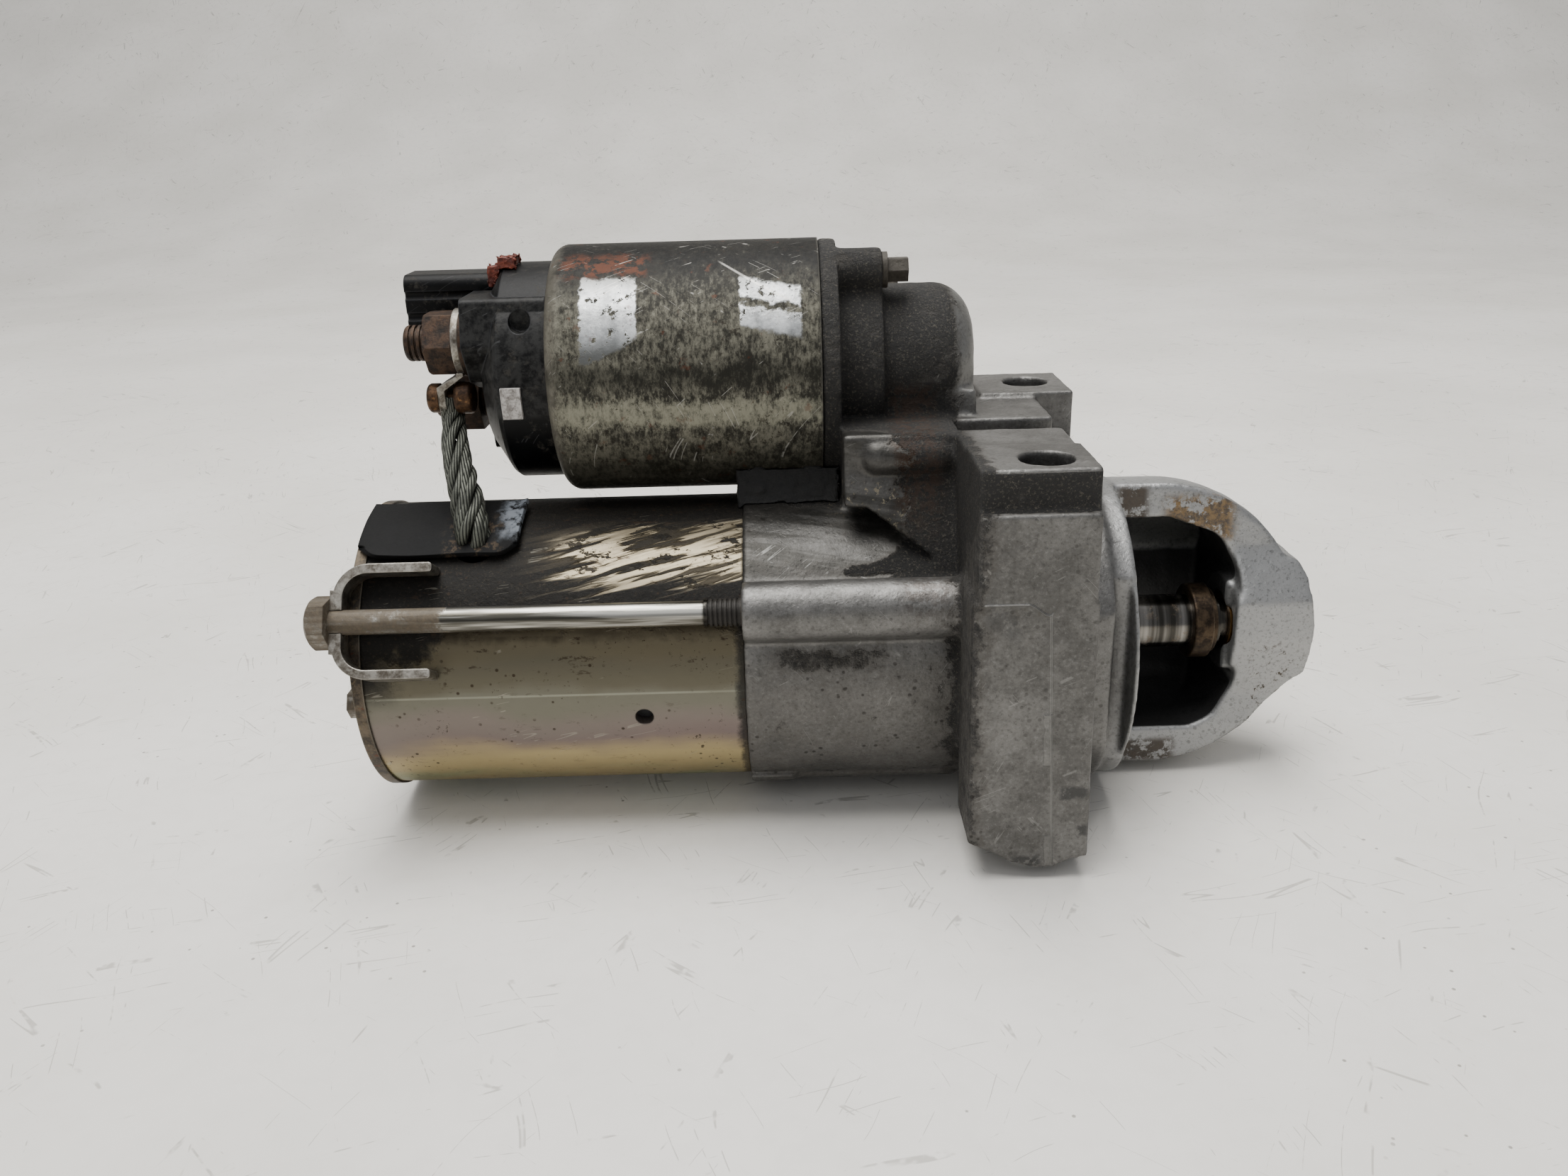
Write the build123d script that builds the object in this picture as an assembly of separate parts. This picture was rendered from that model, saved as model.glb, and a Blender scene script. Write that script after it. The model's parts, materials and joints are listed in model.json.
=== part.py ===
from build123d import *
from math import acos, cos, degrees, hypot, pi, radians, sin, sqrt, tan
import os

# Gear-reduction starter motor with a solenoid on top and two mounting legs, in millimetres.
# Frame: +X runs along the motor axis to the nose and +Z leaves the mounting pads.
# The origin is the centre of the front bolt hole on the pad face.
# Every shape below is built about the motor axis, and save() shifts it into the frame.

# ---------------------------------------------------------------- driving dimensions
motor_axis_y = 41.3
motor_axis_z = -52.0
axis_to_frame = Location((0, motor_axis_y, motor_axis_z))

# solenoid axis, seen from the motor axis
coil_y = 16.3
coil_z = 60.8
axis_spacing = hypot(coil_y, coil_z)
up_y = coil_y / axis_spacing
up_z = coil_z / axis_spacing

# stations along the motor axis
case_rear = -141.4
case_front = -60.0
gear_bore_end = -34.0
leg_left = -14.0
leg_right = 9.2
clutch_bore_start = -2.0
flange_a_end = 18.2
flange_b_end = 23.5
nose_round_start = 34.3
nose_face = -5.1
nose_face_tilt = 5.1
boss_start = 51.2
tip_start = 52.4
nose_hollow_end = 53.5
nose_tip = 71.0

# radii about the motor axis
case_radius = 33.0
case_bore = 30.5
cap_rim_radius = 33.5
barrel_radius = 33.9
barrel_lip_radius = 35.2
gear_bore = 31.05
lever_bore = 26.0
clutch_bore = 21.0
nose_radius = 34.4
nose_bush_bore = 6.6

# mounting pads and legs
pad_top = -motor_axis_z
pad_hole_radius = 5.35
near_hole_y = -motor_axis_y
far_hole_x = 9.1
far_hole_y = 30.2
near_leg_face = -51.5
near_leg_bottom = -33.0
near_leg_back = -31.8
near_pad_back = -30.2
near_strip_back = -13.6
strip_top = 51.2
deck_face = -17.0
far_hole_bottom = 28.0

# through bolts
bolt_circle = 36.5
bolt_angle = 29.5
bolt_thread_radius = 2.95
bolt_shank_radius = 2.65
bolt_tail = -146.2

# reduction gear
gear_module = 1.2
sun_teeth = 11
planet_teeth = 16
ring_teeth = 43
pressure_angle = radians(25)
planet_count = 3
planet_orbit = gear_module * (sun_teeth + planet_teeth) / 2
gear_start = -58.0
gear_end = -46.0
planet_pin_radius = 3.5

# output shaft, drive and shift lever
shaft_radius = 6.25
journal_radius = 5.0
spline_core_radius = 8.0
spline_tip_radius = 9.2
spline_count = 6
running_gap = 0.05
pinion_front = 24.8
pinion_back = 8.0
lever_pivot_x = -19.9
upper_arm = 22.8
lower_arm = 40.15
half_swing = radians(13.3)
pivot_height = axis_spacing - 22.5
plunger_travel = 2 * upper_arm * sin(half_swing)
drive_travel = 2 * lower_arm * sin(half_swing)
groove_x = lever_pivot_x - lower_arm * sin(half_swing)
slot_x = lever_pivot_x + upper_arm * sin(half_swing)

slot_half_width = 3.5

# solenoid
can_radius = 28.0
can_rear = -101.0
can_front = -41.8
plunger_radius = 13.0
plunger_rear = -71.0
core_nose_end = -82.0
spring_pocket_end = -50.0
terminal_radius = 4.0
motor_stud_y = 7.0
motor_stud_z = 69.3
stud_end = -134.2
block_face = -119.5

# armature and brushes
slot_count = 16
core_radius = 24.0
commutator_radius = 14.0
brush_count = 4
magnet_count = 6


# ---------------------------------------------------------------- helpers
def rod(radius, x_start, x_end, y=0.0, z=0.0):
    """Cylinder along X."""
    middle = (x_start + x_end) / 2
    return Pos(middle, y, z) * Rot(0, 90, 0) * Cylinder(radius, x_end - x_start)


def tube(outer, inner, x_start, x_end, y=0.0, z=0.0):
    """Hollow cylinder along X."""
    return rod(outer, x_start, x_end, y, z) - rod(inner, x_start - 1, x_end + 1, y, z)


def block(x_start, x_end, y_start, y_end, z_start, z_end):
    """Box given by its six faces."""
    middle = Pos((x_start + x_end) / 2, (y_start + y_end) / 2, (z_start + z_end) / 2)
    return middle * Box(x_end - x_start, y_end - y_start, z_end - z_start)


def prism(points, x_start, x_end):
    """Polygon of (y, z) points drawn out along X."""
    face = make_face(Polyline(*points, close=True))
    return extrude(Plane.YZ.offset(x_start) * face, x_end - x_start)


def turned(points):
    """Polygon of (x, radius) points turned about the motor axis."""
    face = make_face(Polyline(*points, close=True))
    return revolve(Plane.XZ * face, Axis.X)


def polar(radius, angle):
    """(y, z) of a point at an angle in degrees from +Y towards +Z."""
    return radius * cos(radians(angle)), radius * sin(radians(angle))


def round_rear(body, radius):
    """Round the rearmost circular edge."""
    return fillet(body.edges().filter_by(GeomType.CIRCLE).sort_by(Axis.X)[0], radius)


def round_front(body, radius):
    """Round the foremost circular edge."""
    return fillet(body.edges().filter_by(GeomType.CIRCLE).sort_by(Axis.X)[-1], radius)


def sector(outer, inner, x_start, x_end, middle_angle, width_angle):
    """Piece of a tube, width_angle degrees wide (less than 120)."""
    reach = outer * 2
    first = polar(reach, middle_angle - width_angle / 2)
    last = polar(reach, middle_angle + width_angle / 2)
    return tube(outer, inner, x_start, x_end) & prism([(0, 0), first, last], x_start, x_end)


def spun(body, angle):
    """Turn a body about the motor axis."""
    return Rot(angle, 0, 0) * body


def at_coil(body):
    """Move a body from the motor axis to the solenoid axis."""
    return Pos(0, coil_y, coil_z) * body


def hexagon_rod(across_flats, x_start, x_end, y, z):
    """Hexagonal bar along X."""
    face = RegularPolygon(across_flats / 2, 6, major_radius=False)
    return extrude(Plane.YZ.offset(x_start) * Pos(y, z) * face, x_end - x_start)


def coil_spring(radius, wire, x_start, x_end, turns):
    """Round-wire spring along X."""
    height = x_end - x_start - 2 * wire
    path = Helix(pitch=height / turns, height=height, radius=radius)
    section = Plane(origin=path @ 0, z_dir=path % 0) * Circle(wire)
    return Pos(x_start + wire, 0, 0) * Rot(0, 90, 0) * sweep(section, path=path)


def bolt_side(angle_turn):
    """(y, z) of a through bolt: the near one, or the far one at 180."""
    return polar(bolt_circle, 180 - bolt_angle + angle_turn)


def save(name, body):
    solids = [solid.moved(axis_to_frame) for solid in body.solids()]
    export_step(solids[0] if len(solids) == 1 else Compound(solids), f"parts/{name}.step")


def group(bodies):
    return Compound(children=list(bodies))


# ---------------------------------------------------------------- gears
def gear_face(teeth, tip, root, slack):
    """Involute gear outline with a tooth centred on the first axis."""
    pitch_radius = gear_module * teeth / 2
    base_radius = pitch_radius * cos(pressure_angle)
    pitch_involute = tan(pressure_angle) - pressure_angle
    flank_steps = 5
    start = max(root, base_radius)
    flank = []
    for step in range(flank_steps + 1):
        radius = start + (tip - start) * step / flank_steps
        turn = acos(min(1.0, base_radius / radius))
        half = pi / (2 * teeth) + slack / pitch_radius + pitch_involute - (tan(turn) - turn)
        flank.append((radius, degrees(half)))
    points = []
    for tooth in range(teeth):
        centre = 360 * tooth / teeth
        points.append(polar(root, centre - flank[0][1]))
        points.extend(polar(radius, centre - half) for radius, half in flank)
        points.extend(polar(radius, centre + half) for radius, half in reversed(flank))
        points.append(polar(root, centre + flank[0][1]))
    unique = [points[0]]
    for point in points[1:]:
        if hypot(point[0] - unique[-1][0], point[1] - unique[-1][1]) > 0.01:
            unique.append(point)
    return unique


addendum = 0.8 * gear_module
dedendum = 1.05 * gear_module
backlash = -0.07
sun_turn = 180 / sun_teeth


def outer_gear(teeth, x_start, x_end):
    pitch_radius = gear_module * teeth / 2
    outline = gear_face(teeth, pitch_radius + addendum, pitch_radius - dedendum, backlash)
    return prism(outline, x_start, x_end)


def planet_angles():
    return [360 * index / planet_count for index in range(planet_count)]


def planet_turn(position):
    """Turn that puts a planet in mesh with the sun at its place on the orbit."""
    sun_phase = (position - sun_turn) * sun_teeth / 360
    return position - (360 / planet_teeth) * ((0.5 - sun_phase) % 1)


def planet_gear(position):
    gear = outer_gear(planet_teeth, gear_start, gear_end)
    gear -= rod(planet_pin_radius + running_gap, gear_start - 1, gear_end + 1)
    y, z = polar(planet_orbit, position)
    return Pos(0, y, z) * spun(gear, planet_turn(position))


def ring_gear():
    pitch_radius = gear_module * ring_teeth / 2
    hollow = gear_face(ring_teeth, pitch_radius + dedendum, pitch_radius - addendum, -backlash)
    return rod(gear_bore - 0.03, -59.9, -40.9) - prism(hollow, -61, -40)


# ---------------------------------------------------------------- drive end housing
def lever_plane():
    """Plane through the lever pivot: X along the motor, Y towards the solenoid, Z the pivot axis."""
    origin = (lever_pivot_x, pivot_height * up_y, pivot_height * up_z)
    return Plane(origin=origin, x_dir=(1, 0, 0), z_dir=(0, -up_z, up_y))


def pivot_rod(radius, start, end):
    """Cylinder along the lever pivot, start and end measured towards the near side."""
    return lever_plane() * Pos(0, 0, (start + end) / 2) * Cylinder(radius, end - start)


def gear_barrel():
    body = rod(barrel_radius, case_front, leg_right)
    body += rod(barrel_lip_radius, case_front, -50) & block(case_front, -50, -25, 25, -40, -26)
    body += rod(barrel_lip_radius - 0.5, -49, leg_left + 1) & block(-49, leg_left + 1, -25, 25, -40, -27)
    ridge_radius = 6.3
    for turn in (0, 180):
        y, z = bolt_side(turn)
        body += rod(ridge_radius, case_front, leg_left + 1, y, z)
        body += rod(ridge_radius, case_front, leg_left + 1, y * 0.92, z * 0.92)
    return body


def near_leg():
    """Leg with the long bolt hole, its front face stepped and its foot rounded about the hole."""
    body = block(leg_left, leg_right, near_leg_face, near_pad_back, 24, pad_top)
    body -= block(leg_left - 1, leg_right + 1, near_leg_face - 1, -49.6, 43.8, pad_top + 1)
    body += block(leg_left, leg_right - 0.2, near_pad_back - 1, near_strip_back, 24, strip_top)
    left = leg_left - 1.0
    outline = [
        (left, 25.8),
        (leg_right + 0.5, 25.8),
        (leg_right + 1.2, -31.0),
        (6.8, -31.9),
        (3.6, -33.3),
        (0.4, -33.8),
        (-4.9, -32.4),
        (-9.4, -29.8),
        (left + 0.4, -27.4),
    ]
    face = make_face(Polyline(*outline, close=True))
    column = extrude(Plane.XZ.offset(-near_leg_face) * face, near_leg_face - near_leg_back)
    rear_edge = column.edges().sort_by_distance((left, near_leg_back, 0))[0]
    column = fillet(rear_edge, 5.0)
    web = block(leg_left, leg_right, near_leg_back - 2, -17, -16, 25)
    return body + column + web


def upper_deck():
    """Hollow wall between the solenoid flange and the legs, with the pads on top."""
    body = block(-37.8, leg_left + 1, deck_face, 36, 12, strip_top)
    slope = prism([(deck_face, 43), (-25.2, 22.7), (-20, 15), (0, 30), (0, 43)], -37.8, leg_left + 1)
    clear = make_face(Polyline((-39, 10), (-39, 36), (-33, 36), (-19.5, 26), (-17.5, 10), close=True))
    slope -= extrude(Plane.XZ * clear, 40)
    body -= block(-39, -19.5, -40, -9, 10, 36)
    body += slope
    body += block(leg_left, leg_right, -18, 18, 20, 46)
    body += block(leg_left, leg_right, -3, 18, 30, 50.8)
    body += block(-4, 18.3, 17.5, 40.5, -4, pad_top)
    body += block(leg_left, -3, 17.5, 36, 12, 50.4)
    roll = Pos(-24, deck_face + 1.6, 46.3) * Rot(0, 90, 0) * Capsule(4.0, 21)
    return body + roll


def Capsule(radius, length):
    """Round-ended bar along Z."""
    bar = Cylinder(radius, length - 2 * radius)
    for end in (-1, 1):
        bar += Pos(0, 0, end * (length / 2 - radius)) * Sphere(radius)
    return bar


def flange_steps():
    """Two flat-sided discs behind the nose."""
    first = rod(36.2, leg_right - 1, flange_a_end)
    first -= block(0, 30, -60, -32.8, -60, 60)
    second = rod(35.0, flange_a_end - 1, flange_b_end)
    second -= block(0, 30, -60, -27.5, -60, 60)
    return first + second


def nose():
    """Domed nose cut flat on the near side, with a blunt tip round the bush."""
    body = rod(nose_radius, flange_b_end - 1, nose_round_start)
    dome = Pos(nose_round_start, 0, 0) * Sphere(nose_radius)
    body += dome & block(nose_round_start, 80, -40, 40, -40, 40)
    body -= spun(block(flange_b_end, 80, -60, nose_face, -60, 60), -nose_face_tilt)
    outline = [(50, 21), (61.6, 19.4), (63.4, 17.6), (67.2, 15.8), (69.0, 12.6), (70.8, 2.0), (nose_tip, -3.0)]
    outline += [(70.7, -11.2), (68.2, -12.8), (65.6, -15.6), (61.0, -21), (50, -21)]
    face = make_face(Polyline(*outline, close=True))
    tip = extrude(Plane.XZ.offset(12) * face, -26)
    tip &= prism([(-3.4, 19.5), (-9.2, 7.3), (-9.2, -1.4), (-6.2, -18.5), (14, -15), (14, 15)], tip_start, 80)
    return body + tip


def nose_hollow():
    """Pocket behind the window, its corners swept into the tip wall."""
    start = flange_b_end - 2.1
    outline = [(start, 27), (35.5, 27), (48.9, 22.4), (nose_hollow_end - 0.2, 14.0)]
    outline += [(nose_hollow_end + 0.6, -14.0), (49.5, -22.4), (39, -27), (start, -27)]
    face = make_face(Polyline(*outline, close=True))
    body = extrude(Plane.XZ.offset(60) * face, -84)
    upright = body.edges().filter_by(Axis.Y).sort_by(Axis.X)
    body = fillet(upright[2:], 8.0)
    pocket = body & rod(lever_bore, 0, 80, 0, 0.6)
    return pocket - rod(11.6, boss_start, 80)


def solenoid_seat():
    """Round flange for the solenoid, its screw bosses and the domed plunger bell."""
    body = at_coil(rod(27.7, can_front, -37.8))
    body += at_coil(rod(20.5, -38, -28))
    bell = round_front(rod(17.4, -30, -7.0), 9.2)
    body += at_coil(bell)
    body += block(-28, -7.3, coil_y - 16.4, coil_y + 16.4, 44, coil_z - 4)
    for angle in screw_angles:
        y, z = polar(screw_circle, angle)
        body += rod(4.9, -38, -27.9, coil_y + y, coil_z + z)
        y, z = polar(screw_circle - 4.5, angle)
        body += rod(5.4, -38, -28.2, coil_y + y, coil_z + z)
    return body


screw_circle = 23.0
screw_angles = (110.9, 39.1)
screw_hole_radius = 2.3


def housing_hollow():
    """Everything that is cut out of the casting."""
    hollow = rod(gear_bore, case_front - 1, gear_bore_end)
    hollow += rod(lever_bore, gear_bore_end - 1, clutch_bore_start)
    hollow += rod(clutch_bore, clutch_bore_start - 1, flange_b_end)
    hollow += nose_hollow()
    hollow += rod(nose_bush_bore, boss_start - 1, 66.5)
    hollow += at_coil(round_front(rod(14.6, can_front - 1, -9.0), 6.5))
    shaft_way = lever_plane() * Pos(0, 0, 0) * Box(19, 2 * 24, 18)
    hollow += shaft_way & rod(axis_spacing, -28.9, -9.9)
    hollow += pivot_rod(3.01, -30, 13.2)
    return hollow


def drive_end_housing():
    body = gear_barrel() + near_leg() + upper_deck() + flange_steps() + nose() + solenoid_seat()
    body -= housing_hollow()
    body -= at_coil(rod(can_radius + 0.5, case_front - 1, can_front))
    hole = Cylinder(pad_hole_radius, 120)
    body -= Pos(0, near_hole_y, 0) * hole
    body -= Pos(0, near_hole_y, near_leg_bottom - 5) * Cylinder(8.6, 10)
    body -= Pos(far_hole_x, far_hole_y, pad_top) * Cylinder(pad_hole_radius, 2 * (pad_top - 10))
    pocket = Pos(far_hole_x, far_hole_y, far_hole_bottom - 30) * Cylinder(8.2, 60)
    body -= pocket
    body -= block(far_hole_x - 8.2, far_hole_x + 8.2, far_hole_y, 60, far_hole_bottom - 60, far_hole_bottom)
    for turn in (0, 180):
        y, z = bolt_side(turn)
        body -= rod(bolt_thread_radius + 0.01, case_front - 1, -20, y, z)
    for angle in screw_angles:
        y, z = polar(screw_circle, angle)
        body -= rod(screw_hole_radius, can_front - 1, -27, coil_y + y, coil_z + z)
    notch = block(-50, -49, -60, 60, -37, -33.4)
    return body - notch


# ---------------------------------------------------------------- motor case
def radial_hole(radius, x, angle):
    """Hole from the axis outwards, for cutting."""
    drill = Pos(x, 0, 0) * Rot(angle - 90, 0, 0) * Pos(0, 0, 30) * Cylinder(radius, 60)
    return drill


vent_angle = 189.6
lead_angle = 119.0
lead_x = -118.3


def field_case():
    body = tube(case_radius, case_bore, case_rear, case_front)
    body -= radial_hole(2.0, -82, vent_angle)
    body -= radial_hole(4.7, lead_x, lead_angle)
    return body


def rear_end_cap():
    rim_rear = case_rear - 2.4
    body = rod(cap_rim_radius, rim_rear, case_rear)
    body += tube(case_bore - 0.05, 26.5, case_rear, case_rear + 2)
    body += rod(13, rim_rear - 1.2, rim_rear)
    body = round_rear(body + rod(8.6, rim_rear - 4.2, rim_rear), 1.5)
    body -= rod(6.5, rim_rear - 2.6, case_rear + 3)
    for x, z in end_screw_places:
        body -= rod(2.05, rim_rear - 1, case_rear + 3, x, z)
    return body


end_screw_places = ((-25.0, -4.0), (25.0, 4.0))


def end_cap_screws():
    screws = []
    for y, z in end_screw_places:
        screw = hexagon_rod(5.8, case_rear - 6.2, case_rear - 2.9, y, z)
        screw += rod(3.6, case_rear - 3.3, case_rear - 2.4, y, z)
        screw += rod(2.0, case_rear - 2.4, -136.0, y, z)
        screws.append(screw)
    return group(screws)


def through_bolts():
    bolts = []
    for turn in (0, 180):
        y, z = bolt_side(turn)
        head = hexagon_rod(10, bolt_tail - 4.4, bolt_tail, y, z)
        head &= Pos(bolt_tail + 3.2, y, z) * Sphere(8.6)
        bolt = head + rod(bolt_shank_radius, bolt_tail, -68, y, z)
        bolt += rod(bolt_thread_radius, -68, -22, y, z)
        for turn_of_thread in range(7):
            x = -67.2 + turn_of_thread
            bolt -= tube(4, 2.6, x, x + 0.4, y, z)
        bolts.append(bolt)
    return group(bolts)


def bolt_brackets():
    """U-shaped steel straps that seat the bolt heads on the rim."""
    width = 24.4
    wall = 2.0
    rear = bolt_tail + 0.5
    front = -125.0
    depth_inner = 28.8
    depth_outer = 37.9
    brackets = []
    for turn in (0, 180):
        profile = Pos((rear + front) / 2, 0) * Rectangle(front - rear, width)
        profile = fillet(profile.vertices().sort_by(Axis.X)[:2], 7.5)
        inner = Pos((rear + wall + front + 4) / 2, 0) * Rectangle(front + 4 - rear - wall, width - 2 * wall)
        inner = fillet(inner.vertices().sort_by(Axis.X)[:2], 5.1)
        channel = extrude(profile - inner, depth_outer - depth_inner)
        tips = channel.edges().filter_by(Axis.Z).sort_by(Axis.X)[-4:]
        channel = fillet(tips, 0.7)
        channel += Pos(bolt_tail + 0.8, 0, (depth_outer - depth_inner) / 2 + 0.6) * Box(1.6, 13.5, 7.9)
        body = spun(Pos(0, 0, depth_inner) * channel, 90 - bolt_angle + turn)
        body -= rod(cap_rim_radius + 0.03, case_rear - 2.4, -100)
        y, z = bolt_side(turn)
        body -= rod(bolt_shank_radius + 0.15, rear - 1, -120, y, z)
        brackets.append(body)
    return group(brackets)


def field_magnets():
    arc = 44
    pieces = [
        sector(case_bore - 0.05, 24.8, -112, -72, 30 + 360 * index / magnet_count, arc)
        for index in range(magnet_count)
    ]
    return group(pieces)


# ---------------------------------------------------------------- armature and brushes
def armature_shaft():
    body = rod(4.5, -145.2, -59.0)
    body += spun(outer_gear(sun_teeth, -60.0, gear_end), sun_turn)
    body += rod(3.0, gear_end - 1, -41.6)
    return body


def armature_core():
    body = tube(core_radius, 4.5, -116, -78)
    for index in range(slot_count):
        angle = 360 * index / slot_count
        groove = block(-117, -77, 14.5, core_radius + 1, -1.5, 1.5)
        body -= spun(groove, angle)
    return body


def armature_winding():
    rear = turned([(-124, 15.5), (-122, 18), (-116, 22.5), (-116, 8), (-122, 8)])
    front = turned([(-78, 22.5), (-73, 21), (-70, 17), (-70, 8), (-78, 8)])
    body = rear + front
    for index in range(slot_count):
        bar = block(-116.5, -77.5, 14.6, 22.4, -1.35, 1.35)
        body += spun(bar, 360 * index / slot_count)
    return body


def commutator():
    body = tube(commutator_radius, 4.5, -137.2, -124)
    for index in range(slot_count):
        slit = block(-138, -125, 12.6, 15, -0.3, 0.3)
        body -= spun(slit, 360 * index / slot_count)
    return body


def rear_bush():
    return tube(6.49, 4.53, case_rear - 5.0, case_rear + 2.4)


def brush_angles():
    return [45 + 360 * index / brush_count for index in range(brush_count)]


def brush_holder():
    body = tube(case_bore - 0.1, 15.2, -139.2, -137.4)
    for angle in brush_angles():
        box = block(-137.4, -125.4, 15.4, 29.6, -5.2, 5.2)
        box -= block(-136.3, -126.5, 15.0, 28.4, -4.1, 4.1)
        body += spun(box, angle)
    for y, z in end_screw_places:
        body -= rod(2.1, -140, -136, y, z)
    return body


def brushes():
    pieces = []
    for angle in brush_angles():
        brush = block(-136.2, -126.6, commutator_radius - 0.5, 22, -4.0, 4.0)
        brush -= rod(commutator_radius + 0.03, -140, -120)
        pieces.append(spun(brush, angle))
    return group(pieces)


def brush_springs():
    spring = coil_spring(2.6, 0.45, 22.05, 28.35, 4)
    upright = Pos(-131.4, 0, 0) * Rot(0, 0, 90) * spring
    return group(spun(upright, angle) for angle in brush_angles())


# ---------------------------------------------------------------- reduction gear
def gear_shield():
    return tube(case_bore - 0.05, 8.4, -61.9, -60.0)


def centre_plate():
    body = tube(gear_bore - 0.03, 10.0, -40.8, -37.6)
    return body + tube(15, 10.0, -37.6, -34.2)


def centre_bush():
    return tube(9.98, spline_core_radius + 0.04, -40.8, -34.2)


def output_shaft():
    """Planet carrier, pins, splined journal and pinion shaft in one piece."""
    body = rod(23.4, -45.8, -41.0)
    for angle in planet_angles():
        y, z = polar(planet_orbit, angle)
        body += rod(planet_pin_radius, gear_start - 0.4, -45.0, y, z)
    body += rod(spline_core_radius, -41.5, -8.0)
    for index in range(spline_count):
        rib = block(-33.0, -8.0, 6, spline_tip_radius, -1.5, 1.5)
        body += spun(rib, 360 * index / spline_count)
    body += rod(shaft_radius, -9, 50.2) + rod(journal_radius, 50, 66.0)
    body -= rod(3.05, -47, -40.8)
    return body


# ---------------------------------------------------------------- drive
def clutch_shell():
    """Drive sleeve with its fork groove, in one piece with the outer race of the clutch."""
    sleeve_radius = 11.5
    flange_radius = 14.0
    sleeve_start = groove_x - 5.0
    body = rod(sleeve_radius, sleeve_start, -9.0)
    body += rod(flange_radius, sleeve_start, groove_x - 3.0)
    body += rod(flange_radius, groove_x + 3.0, groove_x + 5.0)
    body += rod(19.6, -10.0, 5.0)
    body -= rod(17.0, -7.2, 6.0)
    body -= rod(spline_core_radius + running_gap, sleeve_start - 1, -7.0)
    for index in range(spline_count):
        way = block(sleeve_start - 1, -7.0, 6, spline_tip_radius + 0.15, -1.6, 1.6)
        body -= spun(way, 360 * index / spline_count)
    return body


def clutch_rollers():
    roller_radius = 2.45
    orbit = 12.0 + roller_radius + 0.04
    rollers = []
    for index in range(5):
        y, z = polar(orbit, 72 * index)
        rollers.append(rod(roller_radius, -6.6, 3.6, y, z))
    return group(rollers)


def clutch_cover():
    return tube(19.6, 12.08, 5.0, 6.8)


def pinion():
    """Nine-tooth pinion on its clutch hub, bored for the shaft."""
    teeth = 9
    tip = 13.9
    root = 9.4
    body = rod(12.0, -7.0, pinion_back)
    outline = []
    for tooth in range(teeth):
        centre = 360 * tooth / teeth
        for radius, half in ((root, 12.5), (11.8, 10.0), (tip, 4.6)):
            outline.append(polar(radius, centre - half))
        for radius, half in ((tip, 4.6), (11.8, 10.0), (root, 12.5)):
            outline.append(polar(radius, centre + half))
    body += prism(outline, pinion_back - 0.5, pinion_front)
    body &= turned([(-7, 0), (-7, 15), (pinion_front - 1.6, 15), (pinion_front, 12.4), (pinion_front, 0)])
    return body - rod(shaft_radius + running_gap, -8, pinion_front + 1)


def stop_collar():
    return round_front(round_rear(tube(8.8, shaft_radius + 0.01, 43.5, 47.8), 0.5), 0.5)


def retaining_ring():
    return tube(7.6, shaft_radius + 0.01, 47.9, 49.1)


def nose_bush():
    return tube(nose_bush_bore - 0.02, journal_radius + 0.03, 52.2, 66.4)


# ---------------------------------------------------------------- shift lever
def shift_lever():
    """Two-armed lever, tilted to its rest position about the pivot."""
    axis_y = -lower_arm
    arch = Pos(0, axis_y, 0) * Rot(0, 90, 0) * (Cylinder(18.2, 5.0) - Cylinder(14.6, 6.0))
    arch &= Pos(0, axis_y + 20, 0) * Box(10, 40, 40)
    arm = Pos(0, (axis_y + 16 + 8) / 2, 0) * Box(4.4, 8 - axis_y - 16, 9)
    arm += Pos(0, upper_arm / 2, 0) * Box(3.4, upper_arm, 9)
    body = arch + arm + Cylinder(5.6, 12) + Pos(0, upper_arm, 0) * Cylinder(slot_half_width - 0.1, 9)
    for side in (-1, 1):
        body += Pos(0, axis_y, side * 15.15) * Cylinder(2.7, 6.1)
    body -= Cylinder(3.05, 20)
    return lever_plane() * Rot(0, 0, -degrees(half_swing)) * body


def lever_pin():
    return pivot_rod(3.0, -24.0, 13.0)


# ---------------------------------------------------------------- solenoid
def solenoid_can():
    body = round_rear(rod(can_radius, can_rear, can_front), 3.3)
    body -= rod(25.9, can_rear + 2.4, -45.8)
    body -= rod(24.6, can_rear - 1, can_rear + 3)
    body -= rod(plunger_radius + 0.4, -46, can_front + 1)
    body = at_coil(body)
    for angle in screw_angles:
        y, z = polar(screw_circle, angle)
        body -= rod(2.26, -46, can_front + 1, coil_y + y, coil_z + z)
    return body


def solenoid_core():
    body = rod(25.85, -98.2, -94.4) + rod(plunger_radius, -94.4, core_nose_end)
    return at_coil(body - rod(2.6, -99, -81))


def coil_bobbin():
    sleeve_bore = plunger_radius + 0.08
    body = tube(14.6, sleeve_bore, -94.3, -46.0)
    body += tube(25.4, sleeve_bore, -94.3, -92.3)
    body += tube(25.4, sleeve_bore, -48.0, -46.0)
    return at_coil(body)


def coil_winding():
    return at_coil(tube(24.6, 14.7, -92.2, -48.1))


def plunger():
    """Iron plunger with a spring pocket behind and a slotted neck for the lever in front."""
    body = rod(plunger_radius, plunger_rear, -34.5)
    body += rod(7.0, -34.5, -9.4)
    body -= rod(6.2, plunger_rear - 1, spring_pocket_end)
    body = at_coil(body)
    slot = Box(2 * slot_half_width, 16, 20)
    return body - lever_plane() * Pos(slot_x - lever_pivot_x, 22.5 - 4.0, 0) * slot


def plunger_spring():
    return at_coil(coil_spring(4.9, 0.75, core_nose_end + 0.02, spring_pocket_end - 0.02, 8))


def contact_disc():
    body = rod(13.5, -107.0, -105.0) + rod(2.5, -111.0, -78.6)
    return at_coil(body)


def contact_spring():
    return at_coil(coil_spring(2.0, 0.4, -115.1, -111.1, 4))


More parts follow.
